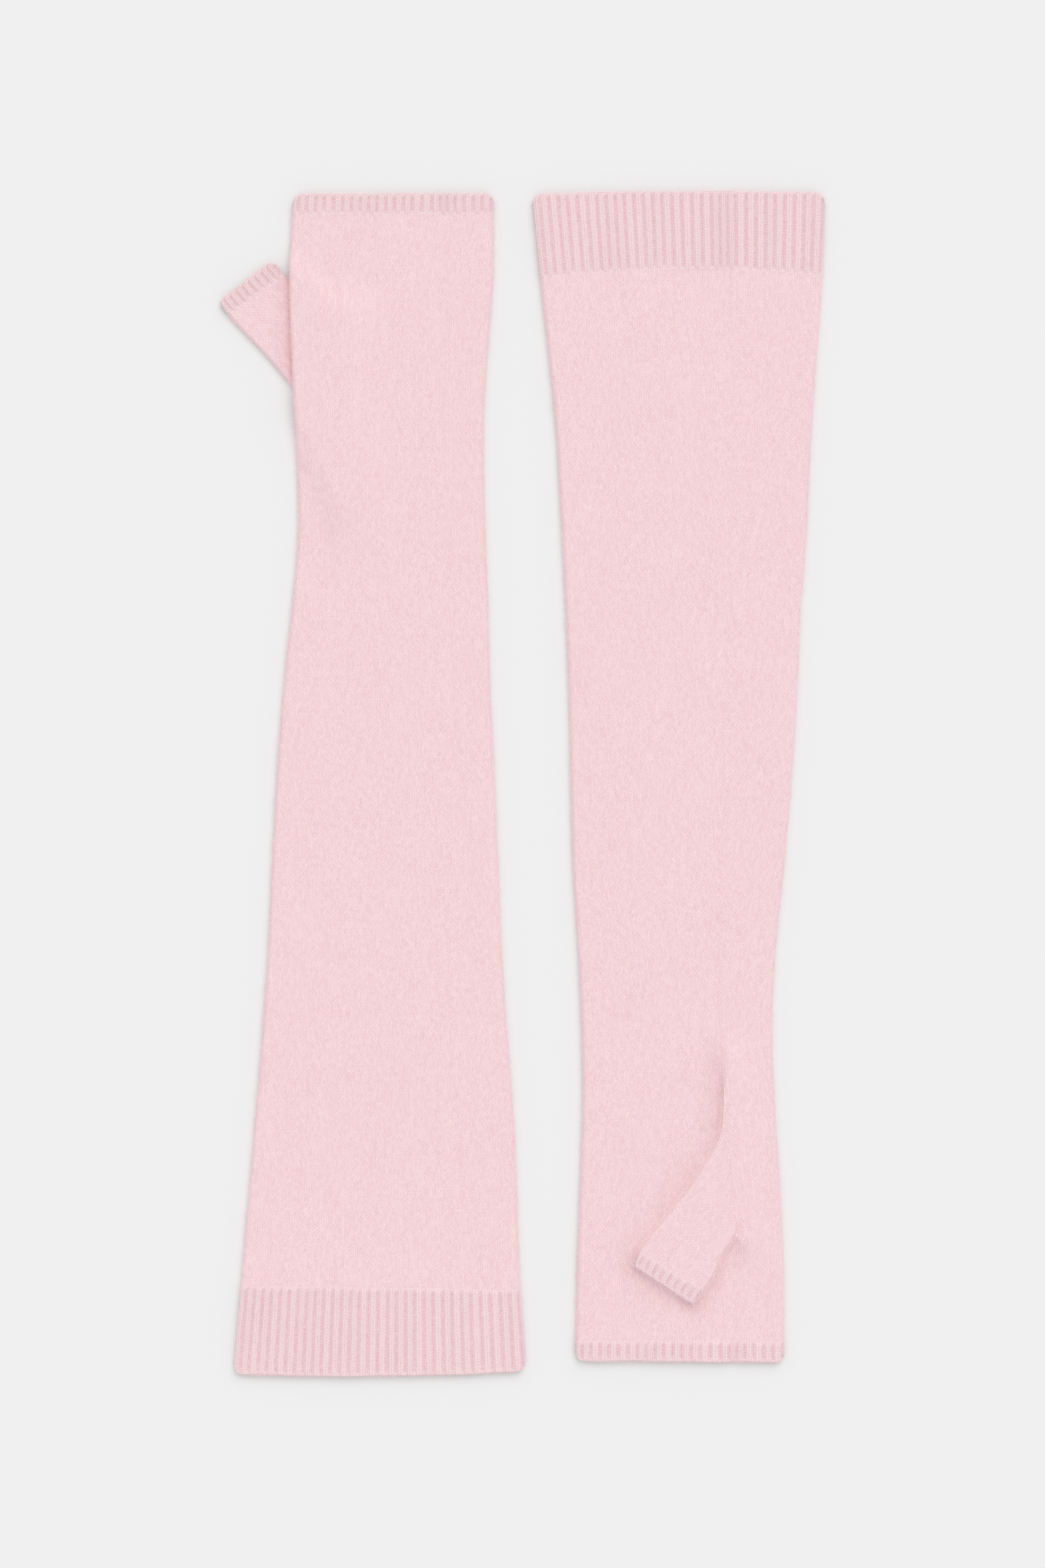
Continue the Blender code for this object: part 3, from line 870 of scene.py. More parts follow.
def grooves(glove, x, station):
    """Soft trough that the hand left in the upper layer: along the line, or along the back's crease."""
    fade = 1.0 if glove.thumb_beneath else 1 - palm_full(glove, station)
    depth = glove.groove.straight("depth", station) * fade
    return depth * hill(x - glove.groove.straight("x", station), GROOVE_HALF)


print("the back's crease is up to", BACK_UP.groove.read("depth").max(), "mm deep")

# %% [markdown]
# ## The long tube
#
# On the side away from the thumb the wales run straight. Where the tube widens towards the arm they wrap
# round the side folds and meet at the line of narrowings, which is how a knitter shapes it. So each
# column of points follows one wale: its distance round the tube from a straight spine stays the same,
# and it ends where it reaches the line. The spine is on top of the back-up glove and under the other.

# %% Tube surface
WALE_PITCH = Table("station pitch", (0, 1.86), (40, WALE), (385, WALE), (450, 1.92))
WALE_DEPTH = 0.15
ROLL_SIZE = 0.28
ROLL_WAVES = Table(
    "across along start size",
    (9.0, 31.0, 0.7, 1.0), (17.0, -22.0, 2.1, 1.0), (6.3, 57.0, 4.0, 0.6),
)


def rolling(x, station, height):
    """Slow unevenness of cloth that was laid by hand: three crossing waves, only on the upper layer."""
    waves = sum(
        size * np.sin(x / across + station / along + start)
        for across, along, start, size in ROLL_WAVES.columns.T
    )
    return ROLL_SIZE / 3 * waves * ease(height / BODY_HEIGHT)


def girth_to_line(glove, station):
    """Distance round the tube from the spine to the line, by the left fold and by the right fold."""
    left, right = glove.left(station), glove.right(station)
    spine, line = glove.spine_x(station), glove.line_x(station)
    fold_path = (np.pi - 2) * FOLD
    return spine - left + line - left + fold_path, right - spine + right - line + fold_path


def fold_turn(glove, around, station):
    """How far a point has turned round its side fold, from 0 to pi, and its way along the layers."""
    edge = np.where(around < 0, glove.left(station), glove.right(station))
    beyond = np.abs(around) - (np.abs(edge - glove.spine_x(station)) - FOLD)
    return np.clip(beyond / FOLD, 0, np.pi), beyond


def share_of_height(glove, turn):
    """0 on the underside and 1 on the top, for a point that has turned so far from the spine's layer."""
    return (1 + (1 if glove.thumb_beneath else -1) * np.cos(turn)) / 2


def tube_point(glove, around, station, inset):
    """Points of the tube, one for each distance round from the spine, with an inset into the cloth.

    Up to the fold a point keeps to the spine's layer. Then it turns through half a circle, and comes back
    on the other layer: x = edge -+ (radius - radius sin turn), z = radius (1 - cos turn).
    """
    left, right = glove.left(station), glove.right(station)
    side = np.where(around < 0, -1.0, 1.0)
    turn, beyond = fold_turn(glove, around, station)
    flat_run = np.minimum(beyond, 0) - np.maximum(beyond - np.pi * FOLD, 0)
    radius = FOLD - inset
    x = np.where(around < 0, left, right) + side * (radius * np.sin(turn) - FOLD + flat_run)
    top_share = share_of_height(glove, turn)
    under, over = lifts(glove, x, station, side, glove.is_open(station))
    z = FOLD + radius * (2 * top_share - 1) + under * (1 - top_share) + over * top_share
    z = z + rolling(x, station, BODY_HEIGHT * top_share) * (1 - np.exp(-beyond**2))
    z = z - top_share * grooves(glove, x, station)
    share = np.clip((x - left) / (right - left), 0, 1)
    return np.stack([x, glove.y(station + glove.row_offset(share, station)), z], -1)


round_to_line = [round(float(part), 1) for part in girth_to_line(PALM_UP, PALM_UP.heel)]
print("from the spine to the line at the thumb's heel it is", *round_to_line, "mm round")

# %% Tube skins
PALM_HIDDEN = 32.0
BACK_SEEN = 78.0
POINTS_PER_WALE = 4
SPARE_WALES = 4


def wale_columns(glove):
    """Wale coordinates of the columns: four points to a wale where it shows, two where it lies beneath."""
    widest = max(part.max() for part in girth_to_line(glove, np.array([0.0, 130.0, glove.length])))
    reach = (int(widest / WALE) + SPARE_WALES) * POINTS_PER_WALE
    quarter = np.arange(-reach, reach + 1) / POINTS_PER_WALE
    distance = np.abs(quarter) * WALE
    fine = distance < BACK_SEEN if glove.thumb_beneath else distance > PALM_HIDDEN
    return quarter[fine | (quarter * 2 == np.floor(quarter * 2))]


def wale_relief(wale):
    """Depth from 0 to 1 across a wale: 0 on its two legs, half in its middle, 1 between wales."""
    return 0.5 * (1 + np.cos(4 * np.pi * wale)) * (0.75 + 0.25 * np.cos(2 * np.pi * wale))


def tube_skin(glove, stations, wales, relief, thickness):
    """One skin of the tube, as a grid whose columns stop at the line of narrowings.

    Points that no corner uses any more are left out, and the rest are numbered again.
    """
    station = stations[:, None]
    pitch = WALE_PITCH.straight("pitch", station)
    by_left, by_right = girth_to_line(glove, station)
    wanted = wales * pitch
    around = np.clip(wanted, -by_left, by_right)
    points = tube_point(glove, around, station, thickness + relief * wale_relief(around / pitch))
    ids = np.arange(wanted.size).reshape(wanted.shape)
    seam_right = np.where(glove.is_open(station), ids[:, -1:], ids[:, :1])
    ids = np.where(wanted <= -by_left, ids[:, :1], np.where(wanted >= by_right, seam_right, ids))
    top_share = share_of_height(glove, fold_turn(glove, around, station)[0])
    # painted glow on the shaded sides of the folds and, on the palm-up glove, painted shade and glow beside
    # the thumb
    painted_shade = -painted_fold_glow(top_share)
    if not glove.thumb_beneath:
        painted_shade = painted_shade + shade_by_thumb(glove, points[..., 0], station, top_share)
    wool_data = np.stack([around / pitch, station / COURSE + 0 * around, painted_shade], -1)
    used, ids = np.unique(ids, return_inverse=True)
    return Skin(ids.reshape(wanted.shape), points.reshape(-1, 3)[used], wool_data.reshape(-1, 3))


print("columns of the two tubes:", *(len(wale_columns(glove)) for glove in GLOVES))

# %% Tube pieces
PALM_HAND_ROWS = 60
BACK_HAND_ROWS = 18
THUMB_ROWS = 75
ARM_ROWS = 126
INNER_ROW_STEP = 3
INNER_COLUMN_STEP = 8


def make_tube(glove):
    """The tube's wall. Each outer point's partner is the nearest inner one towards the spine's far side."""
    start = HAND_RIB_DEPTH + SEAM / 2
    end = glove.length - glove.arm_rib_depth - SEAM / 2
    hand_rows = BACK_HAND_ROWS if glove.thumb_beneath else PALM_HAND_ROWS
    stations = np.concatenate([
        np.linspace(start, glove.crotch, hand_rows, endpoint=False),
        np.linspace(glove.crotch, glove.heel, THUMB_ROWS, endpoint=False),
        np.linspace(glove.heel, end, ARM_ROWS + 1),
    ])
    wales = wale_columns(glove)
    outer = tube_skin(glove, stations, wales, WALE_DEPTH, 0.0)
    middle = int(np.argmin(np.abs(wales)))
    half = np.arange(middle, len(wales) + INNER_COLUMN_STEP, INNER_COLUMN_STEP)
    few_columns = np.unique(np.clip(np.concatenate([2 * middle - half, half]), 0, len(wales) - 1))
    inner = tube_skin(glove, stations[::INNER_ROW_STEP], wales[few_columns], 0.0, WALL)
    column = np.arange(len(wales))
    outward = np.where(
        column < middle,
        np.searchsorted(few_columns, column, side="right") - 1,
        np.searchsorted(few_columns, column, side="left"),
    )
    row = np.rint(np.arange(len(stations)) / INNER_ROW_STEP).astype(int)
    to_right = np.where(outer.ids == outer.ids[:, -1:], len(few_columns) - 1, outward)
    to_column = np.where(outer.ids == outer.ids[:, :1], 0, to_right)
    partner = np.zeros(len(outer.points), int)
    partner[outer.ids] = inner.ids[row[:, None], to_column]
    return make_wall(f"{glove.name}_long_tube", outer, inner, partner, plain_wool)


tubes = {glove.name: make_tube(glove) for glove in GLOVES}

# %% [markdown]
# ## Ribbed bands
#
# A one by one rib is one knit wale, one purl wale, all the way round. The knit wales stand proud as narrow
# cords of two legs, and the purl wales sink between them. There are few enough stitches here to give
# each its own points, so the bands are fully modelled. The section is a stadium: a point is at
# (radius + share * flat + radius sin turn, radius + radius cos turn), where turn goes once round.

# %% Rings of wales
KNIT_SHARE = 0.59
KNIT_POINTS = np.array([0.0, 0.14, 0.3, 0.5, 0.7, 0.86])
PURL_POINTS = np.array([0.0, 0.25, 0.5, 0.75])
HIDDEN_POINTS = np.array([0.0, 0.33, 0.67])
RIB_UNEVEN = 0.06


class Squeeze(NamedTuple):
    """A place across a flat where the ribs are pushed together: its share, its reach and by how much."""

    at: float
    reach: float
    amount: float


NO_SQUEEZE = Squeeze(at=0.5, reach=1.0, amount=0.0)
HAND_SQUEEZE = Squeeze(at=0.77, reach=0.09, amount=0.022)
ARM_SQUEEZE = Squeeze(at=0.66, reach=0.07, amount=0.016)


class Ring(NamedTuple):
    """Columns round a flat tube: share across the flat, turn of the section, wale number and place in it."""

    share: np.ndarray
    turn: np.ndarray
    wale: np.ndarray
    within: np.ndarray


def uneven_share(number, size):
    """A fixed spread round 1 for whole numbers, so that no two ribs are quite alike."""
    return 1 + size * np.sin(number * 12.9898 + 3.1 * np.sin(number * 4.1414))


def squeezed(share, squeeze):
    """Shares across a flat, where the ribs crowd together round one place and open out beside it."""
    away = (share - squeeze.at) / squeeze.reach
    return share - squeeze.amount * away * np.exp(-(away * away)) * np.sin(np.pi * share) ** 0.5


def run_of_wales(first, count, ribbed, seen):
    """Wale number, place within it and distance along from 0 to 1, for each column of a run of wales.

    Odd wales are knit, and in a rib the even ones are purl and have another share of the width.
    """
    wales = np.arange(first, first + count)
    width = np.ones(count)
    if ribbed:
        width = np.where(wales % 2 == 1, KNIT_SHARE, 1 - KNIT_SHARE) * uneven_share(wales, RIB_UNEVEN)
    start = np.append(0, np.cumsum(width))
    places = [PURL_POINTS if ribbed and wale % 2 == 0 else KNIT_POINTS for wale in wales]
    places = places if seen else [HIDDEN_POINTS] * count
    index = np.repeat(np.arange(count), [len(place) for place in places])
    within = np.concatenate(places)
    return wales[index], within, (start[index] + width[index] * within) / start[-1]


def wale_ring(across, fold, ribbed, lean=0.0, squeeze=NO_SQUEEZE):
    """A ring with so many wales across each flat and round each fold, whose lower flat has fewer points."""
    upper = run_of_wales(0, across, ribbed, True)
    right = run_of_wales(across, fold, ribbed, True)
    lower = run_of_wales(across + fold, across, ribbed, False)
    left = run_of_wales(2 * across + fold, fold, ribbed, True)
    leaning = squeezed(upper[2] + lean * upper[2] * (1 - upper[2]), squeeze)
    share = np.concatenate([leaning, 0 * right[2] + 1, 1 - lower[2], 0 * left[2]])
    turn = np.concatenate([0 * leaning, right[2] * np.pi, 0 * lower[2] + np.pi, np.pi + left[2] * np.pi])
    wale, within, _ = (np.concatenate(part) for part in zip(upper, right, lower, left))
    return Ring(share, turn, wale, within)


print("columns round an arm band:", len(wale_ring(ARM_WALES, FOLD_WALES, True).share))

# %% Height of a rib
RIB_RISE = 0.6
RIB_RECESS = 0.1
SHOULDER = 0.85
SHOULDER_START = 0.3
EDGE_RADIUS = 0.55
CLOSED_LEVEL = 0.75
CLOSE_START = 0.5
CLOSE_LENGTH = 1.1
ARCH_POINT = 1.5
RIB_STITCH = 0.32
PURL_SMOOTH = 0.9
BAND_FADE = 1.6
JOIN_ARCH = 0.7
JOIN_UNEVEN = 0.35
JOIN_EARLY = 0.4
JOIN_STITCH = 0.3
# strength of the painted shade in the rib recesses
RECESS_SHADE = 0.82


def rib_level(ring):
    """1 on top of a knit wale, falling over soft shoulders to 0 in the middle of a purl wale."""
    from_middle = np.abs(2 * ring.within - 1)
    knit = 1 - (1 - SHOULDER) * from_middle**2
    purl = SHOULDER * ease((from_middle - SHOULDER_START) / (1 - SHOULDER_START))
    return np.where(ring.wale % 2 == 1, knit, purl)


def ribbed_height(ring, course, from_hem, from_join):
    """Height over the flat cloth, and painted shade from 0 to 1 in the recesses, for columns by rows of a
    ribbed band.

    Each recess closes at the hem in a pointed arch, where the last course is bound off, and fades into
    the plain knit at the other end. The lower side is pressed flat, so there the ribs are cut inwards.
    """
    from_middle = np.abs(2 * ring.within - 1)
    is_purl = ring.wale % 2 == 0
    level = rib_level(ring)
    closing = 1 - ease((from_hem - CLOSE_START - ARCH_POINT * from_middle * is_purl) / CLOSE_LENGTH)
    level = level + np.maximum(CLOSED_LEVEL - level, 0) * closing
    top = (1 + np.cos(ring.turn)) / 2
    rib = -RIB_RISE * (1 - level) + (RIB_RISE - RIB_RECESS) * top
    start = JOIN_ARCH * from_middle * is_purl + JOIN_UNEVEN * (uneven_share(ring.wale, 1.0) - JOIN_EARLY)
    joined = ease((from_join - start) / BAND_FADE)
    purl = PURL_SMOOTH + (1 - PURL_SMOOTH) * purl_stitch(ring.within, course)
    stitch = np.where(is_purl, purl, knit_stitch(ring.within, course, RIB_VALLEY))
    stitch_depth = RIB_STITCH * (JOIN_STITCH + (1 - JOIN_STITCH) * joined)
    height = rib * joined - stitch_depth * (1 - stitch) - corner_pull(from_hem, EDGE_RADIUS)
    # painted shade in the recesses, deepest in the middle of a purl wale
    return height, np.clip((1 - level) * joined * RECESS_SHADE, 0, 1)


print("a rib stands", RIB_RISE, "mm over its recess")

# %% Pieces made of rings
def round_section(ring, width, height, out):
    """Across and z of a flat tube's section, moved out by the given height."""
    radius = height / 2
    across = radius + ring.share * (width - height) + (radius + out) * np.sin(ring.turn)
    return across, radius + (radius + out) * np.cos(ring.turn) + 0 * across


def close_ring(grid):
    """A ring's grid of numbers with its first column once more at the end."""
    return np.concatenate([grid, grid[:, :1]], axis=1)


def ring_wool(ring, course, painted_shade):
    """Wale, course and painted shade of a ring's grid, with its closing column, less the painted fold glow.
    """
    wale = np.append(ring.wale + ring.within, ring.wale[-1] + 1)
    course = close_ring(course)
    painted_shade = close_ring(painted_shade - painted_fold_glow((1 + np.cos(ring.turn)) / 2))
    return np.stack([np.broadcast_to(wale, course.shape), course, painted_shade], -1)


def make_ring_piece(name, ring, rows_of_points, height, wool_map, wall, material, column_step, row_step):
    """A wall from rings of points: rows_of_points(ring, rows, out) places a ring's columns at its rows.

    The inner skin has every few rows and columns. The last row is always there, so the rim is whole.
    """
    rows, columns = height.shape
    pick = np.arange(0, columns, column_step)
    near = np.arange(columns) // column_step
    few_rows = np.unique(np.append(np.arange(0, rows, row_step), rows - 1))
    few = Ring(*(column[pick] for column in ring))
    outer_points = rows_of_points(ring, np.arange(rows), height)
    inner_points = rows_of_points(few, few_rows, np.full((len(few_rows), len(pick)), -wall))
    inner_wool = wool_map[np.ix_(few_rows, np.append(pick, columns))]
    outer = Skin(ring_ids(rows, columns), outer_points.reshape(-1, 3), wool_map.reshape(-1, 3))
    inner = Skin(ring_ids(len(few_rows), len(pick)), inner_points.reshape(-1, 3), inner_wool.reshape(-1, 3))
    row = np.minimum(np.rint(np.arange(rows) / row_step).astype(int), len(few_rows) - 1)
    row[-1] = len(few_rows) - 1
    partner = np.zeros(rows * columns, int)
    partner[outer.ids[:, :-1]] = inner.ids[row[:, None], near]
    return make_wall(name, outer, inner, partner, material)


print("a flat tube 80 mm wide is", round(2 * (80 - BODY_HEIGHT) + np.pi * BODY_HEIGHT, 1), "mm round")

# %% Bands round the tube
HEM_WAVE = 0.13
LONG_WAVE = 8.3
SHORT_WAVE = 3.7
SHORT_WAVE_SHARE = 0.7
BAND_ROLL = 0.5
HAND_ROWS_PER_COURSE = 6
ARM_ROWS_PER_COURSE = 5
BAND_INNER_STEPS = (12, 4)


def band_points(glove, ring, station, from_hem, inward, out):
    """Points of a band at its stations, with bowed rows, rounded hem corners and uneven cloth."""
    left = glove.left(station)
    width = glove.right(station) - left
    across, z = round_section(ring, width, BODY_HEIGHT, out)
    x = left + across
    on_top = z > FOLD
    depth = glove.arm_rib_depth if inward < 0 else HAND_RIB_DEPTH
    wave = np.sin(x / LONG_WAVE + depth) + SHORT_WAVE_SHARE * np.sin(x / SHORT_WAVE + 2.0) * on_top
    pull = inward * corner_pull(np.minimum(across, width - across), HEM_CORNER) + HEM_WAVE * wave
    offset = glove.row_offset(np.clip(across / width, 0, 1), station)
    z = z + rolling(x, station, z) * BAND_ROLL - grooves(glove, x, station) * on_top
    return np.stack([x, glove.y(station + offset + pull * (1 - from_hem / depth)), z], -1)


def make_band(glove, name, hem, depth, inward, ring, rows_per_course):
    """A ribbed band: hem is the station of its edge, and inward leads from there into the glove."""
    reach = depth + SEAM / 2
    from_hem = np.linspace(0, reach, int(reach / RIB_COURSE * rows_per_course) + 1)[:, None]
    station = hem + inward * from_hem
    course = station / RIB_COURSE + 0 * ring.share
    height, painted_shade = ribbed_height(ring, course, from_hem, reach - from_hem)

    def rows_of_points(part, picked, out):
        return band_points(glove, part, station[picked], from_hem[picked], inward, out)

    return make_ring_piece(f"{glove.name}_{name}", ring, rows_of_points, height,
                           ring_wool(ring, course, painted_shade), WALL, rib_wool, *BAND_INNER_STEPS)


bands = {}
for glove in GLOVES:
    hand_ring = wale_ring(HAND_WALES, FOLD_WALES, True, squeeze=HAND_SQUEEZE)
    arm_ring = wale_ring(ARM_WALES, FOLD_WALES, True, glove.rib_lean,
                         NO_SQUEEZE if glove.thumb_beneath else ARM_SQUEEZE)
    bands[glove.name, "hand"] = make_band(glove, "hand_band", 0.0, HAND_RIB_DEPTH, 1,
                                          hand_ring, HAND_ROWS_PER_COURSE)
    bands[glove.name, "arm"] = make_band(glove, "arm_cuff", glove.length, glove.arm_rib_depth, -1,
                                         arm_ring, ARM_ROWS_PER_COURSE)

# %% [markdown]
# ## Thumbs
#
# The thumb is a small tube of the same wool. Its wales run parallel to its two folds, so it is lofted
# between the two edge curves of the table: a point is at L + across * (R - L) / width for the sections
# from the root line to the tip. The ribbed band is the last part of the same loft.

# %% Thumb surface
TIP_ONLY = 0.99
THUMB_STITCH = 0.04
MIDDLE_START = 0.35


def thumb_chord(glove, share):
    """Where the sections of the thumb start on its long side, their direction across and their width."""
    start = glove.thumb_fold("l", share)
    across = glove.thumb_fold("r", share) - start
    width = np.linalg.norm(across, axis=-1)
    return start, across / width[..., None], width


def thumb_points(glove, ring, share, out, tip_start):
    """Points of the thumb at its sections. From tip_start on, the two corners of its tip are rounded.

    On the palm it lies one seam above the cloth, and its root takes part in the cloth's slow unevenness.
    """
    start, across_way, width = thumb_chord(glove, share)
    across, z = round_section(ring, width[:, None], THUMB_HEIGHT, out)
    plan = start[:, None] + across[..., None] * across_way[:, None]
    at_tip = np.clip((share - tip_start) / (1 - tip_start), 0, 1)[:, None]
    back = np.stack([-across_way[:, 1], across_way[:, 0]], -1)
    back = back * np.sign((back * (start[:1] - start[-1:])).sum(-1, keepdims=True))
    pull = corner_pull(np.minimum(across, width[:, None] - across), TIP_CORNER) * at_tip
    plan = plan + pull[..., None] * back[:, None]
    if not glove.thumb_beneath:
        root_share = np.clip(1 - share[:, None] / THUMB_RIB_START, 0, 1)
        z = z + BODY_HEIGHT + SEAM
        z = z + rolling(plan[..., 0], glove.station(plan[..., 1]), BODY_HEIGHT) * root_share
    return np.concatenate([plan, z[..., None]], -1)


def wale_lengths(glove, ring, share):
    """Distance along each column from the tip, for the courses of the knitting."""
    middle = thumb_points(glove, ring, share, 0.0, TIP_ONLY)
    pieces = np.linalg.norm(np.diff(middle, axis=0), axis=-1)
    run = np.concatenate([np.zeros((1, pieces.shape[1])), np.cumsum(pieces, axis=0)])
    return run[-1] - run


def thumb_wool_map(glove, ring, share):
    """Wale and course on the thumb, in a straight frame along its middle from the root to the tip.

    Round a fold the wale coordinate goes on by the arc, and on the lower layer it runs back, so that
    wales keep their width all round and simply end where they meet the root line.
    """
    plan = thumb_points(glove, ring._replace(turn=0 * ring.turn), share, 0.0, TIP_ONLY)[..., :2]
    start, across_way, width = thumb_chord(glove, np.array([MIDDLE_START, 1.0]))
    near_root, tip = start + across_way * width[:, None] / 2
    down = (tip - near_root) / np.linalg.norm(tip - near_root)
    side = np.array([-down[1], down[0]])
    side = side * np.sign(side @ across_way[1])
    out = (plan - tip) @ side
    edge = out[:, ring.share == 1].max(axis=1, keepdims=True)
    back = np.where(ring.turn >= np.pi, 2 * (edge - out), 0)
    position = out + back + THUMB_FOLD * ring.turn
    course = (tip - plan) @ down / COURSE
    # painted glow on the shaded sides of the thumb's folds
    painted_shade = 0 * course - painted_fold_glow((1 + np.cos(ring.turn)) / 2)
    if glove.thumb_beneath:
        beyond = np.maximum(glove.left(glove.station(plan[..., 1])) - plan[..., 0], 0)
        # painted shade on the back-up thumb next to the edge of the glove that lies over it
        painted_shade = painted_shade + SHADE * np.exp(-beyond / SHADE_REACH) * (ring.turn < np.pi / 2)
    one_column = ((0, 0), (0, 1))
    position = np.pad(position / THUMB_WALE, one_column, mode="edge")
    return np.stack([position, close_ring(course), np.pad(painted_shade, one_column)], -1)


for glove in GLOVES:
    root_width, tip_width = thumb_chord(glove, np.array([0.0, 1.0]))[2]
    print(f"{glove.name} thumb: {root_width:.1f} mm wide at its root, {tip_width:.1f} mm at its tip")

# %% Thumb pieces
THUMB_SECTIONS = 190
THUMB_INNER_STEPS = (6, 5)
THUMB_BAND_SECTIONS = 36
THUMB_BAND_INNER_STEPS = (8, 5)


def make_thumb(glove):
    ring = wale_ring(THUMB_WALES, FOLD_WALES, False)
    share = np.linspace(0, THUMB_RIB_START, THUMB_SECTIONS)
    wool_map = thumb_wool_map(glove, ring, share)
    height = THUMB_STITCH * (knit_stitch(wool_map[:, :-1, 0], wool_map[:, :-1, 1], VALLEY) - 1)

    def rows_of_points(part, picked, out):
        return thumb_points(glove, part, share[picked], out, TIP_ONLY)

    return make_ring_piece(f"{glove.name}_thumb_tube", ring, rows_of_points, height, wool_map,
                           THUMB_WALL, plain_wool, *THUMB_INNER_STEPS)


def make_thumb_band(glove):
    ring = wale_ring(THUMB_WALES, FOLD_WALES, True)
    share = np.linspace(THUMB_RIB_START, 1.0, THUMB_BAND_SECTIONS)
    from_tip = wale_lengths(glove, ring, share)
    course = from_tip / RIB_COURSE
    height, painted_shade = ribbed_height(ring, course, from_tip, from_tip[:1] - from_tip)

    def rows_of_points(part, picked, out):
        return thumb_points(glove, part, share[picked], out, THUMB_RIB_START)

    return make_ring_piece(f"{glove.name}_thumb_band", ring, rows_of_points, height,
                           ring_wool(ring, course, painted_shade), THUMB_WALL, rib_wool, *THUMB_BAND_INNER_STEPS)


thumbs = {}
for glove in GLOVES:
    thumbs[glove.name, "tube"] = make_thumb(glove)
    thumbs[glove.name, "band"] = make_thumb_band(glove)

# %% [markdown]
# ## Marks where the glove is shaped
#
# Where a knitter narrows the tube, two stitches are drawn over each other a few wales from the line, and
# the carried legs show as short light strokes that lean together towards the hand. A few more close the
# corner of the thumb. Each is an egg sunk half into the cloth, so they are small solids of their own.

# %% Loose and carried wool
FIBRE_ROUGHNESS = 0.95
FIBRE_SHINE = 0.1
FIBRE_CONTRAST = 1.6
# painted glow of the loose fibres
NAP_GLOW = 0.22
NAP_PALE = (0.95, 0.76, 0.775, 1.0)
NAP_PINK = (0.90, 0.67, 0.69, 1.0)
MARK_PINK = (0.84, 0.58, 0.61, 1.0)


def fibre_wool(name, pale, deep, glow):
    """Nearly as pale as the crests.

    Glow is a painted glow of their own colour, for light that passes through thin fibres.
    """
    recipe = Recipe(name)
    share = (recipe.noise(PER_METRE_UNEVEN) - 0.5) * FIBRE_CONTRAST + 0.5
    pink = recipe.mix(share.clamped(), pale, deep)
    return recipe.finish(
        Base_Color=pink,
        Roughness=FIBRE_ROUGHNESS,
        Specular_IOR_Level=FIBRE_SHINE,
        Emission_Color=pink,
        Emission_Strength=glow,
    )


nap_wool = fibre_wool("loose_fibre", NAP_PALE, NAP_PINK, NAP_GLOW)
mark_wool = fibre_wool("carried_stitch", NAP_PINK, MARK_PINK, 0.0)
print("loose fibres give off", NAP_GLOW, "of their own colour, and carried stitches none")

# %% Carried stitches
MARK_SIZE = (0.7, 2.4, 0.72)
MARK_SINK = 0.1
MARK_LEAN = 30.0
MARK_UNEVEN = 0.35
MARK_RINGS = 6
MARK_SIDES = 8
NARROWINGS = Table(
    "station left right",
    (412.2, 86.1, 92.6), (388.5, 87.4, 94.3), (365.2, 88.2, 92.6), (345.3, 87.4, 93.4),
    (322.9, 85.2, 92.6), (303.2, 86.9, 92.6), (283.3, 87.4, 92.1), (263.3, 84.4, 90.4),
    (248.9, 85.2, 90.7), (234.1, 84.1, 89.6), (205.7, 80.9, 87.7), (198.3, 81.4, 88.2),
    (192.9, 81.0, 88.0), (182.7, 80.2, 88.4), (175.4, 80.0, 88.9), (165.3, 79.6, 89.6),
    (155.4, 79.0, 90.7),
)
CROTCH_STITCHES = Table("station x", (58.6, 90.0), (57.2, 89.2), (55.8, 90.3), (54.4, 89.4), (53.0, 88.6))


def top_of_tube(glove, x, station):
    """Height of the upper layer's surface, for places away from its folds."""
    side = np.sign(x - glove.line_x(station))
    over = lifts(glove, x, station, side, glove.is_open(station))[1]
    return BODY_HEIGHT + over + rolling(x, station, BODY_HEIGHT) - grooves(glove, x, station)


def egg(rings, sides):
    """A closed unit ball: rings of points between two poles, and triangles that face outward."""
    tilt = np.linspace(0, np.pi, rings + 1)[1:-1, None]
    turn = np.linspace(0, 2 * np.pi, sides, endpoint=False)
    body = np.stack([np.sin(tilt) * np.cos(turn), np.cos(tilt) + 0 * turn, np.sin(tilt) * np.sin(turn)], -1)
    points = np.concatenate([[[0, 1, 0]], body.reshape(-1, 3), [[0, -1, 0]]])
    pole = np.zeros((1, sides + 1), int)
    ids = np.concatenate([pole, ring_ids(rings - 1, sides) + 1, pole + len(points) - 1])
    return points, ids.ravel()[grid_triangles(ids)]


def make_marks(glove):
    """An egg at every carried stitch, turned in plan by its lean. The two of a pair lean together."""
    pairs, single = NARROWINGS.read("station"), CROTCH_STITCHES.read("station")
    station = np.concatenate([pairs, pairs, single])[:, None]
    x = [NARROWINGS.read("left"), NARROWINGS.read("right"), CROTCH_STITCHES.read("x")]
    x = np.concatenate(x)[:, None]
    towards = np.concatenate([1 + 0 * pairs, 0 * pairs - 1, (-1.0) ** np.arange(len(single))])
    lean = (np.radians(MARK_LEAN) * towards * uneven_share(np.arange(len(x)), MARK_UNEVEN))[:, None]
    ball, faces = egg(MARK_RINGS, MARK_SIDES)
    across, along, up = (ball * MARK_SIZE / 2).T
    plan_x = x + across * np.cos(lean) - along * np.sin(lean)
    plan_station = station + across * np.sin(lean) + along * np.cos(lean)
    z = top_of_tube(glove, plan_x, plan_station) - MARK_SINK + up
    points = np.stack([plan_x, glove.y(plan_station), z], -1).reshape(-1, 3)
    faces = (faces + len(ball) * np.arange(len(x))[:, None, None]).reshape(-1, 3)
    return make_solid(f"{glove.name}_narrowing_marks", points, faces, mark_wool)


marks = make_marks(PALM_UP)

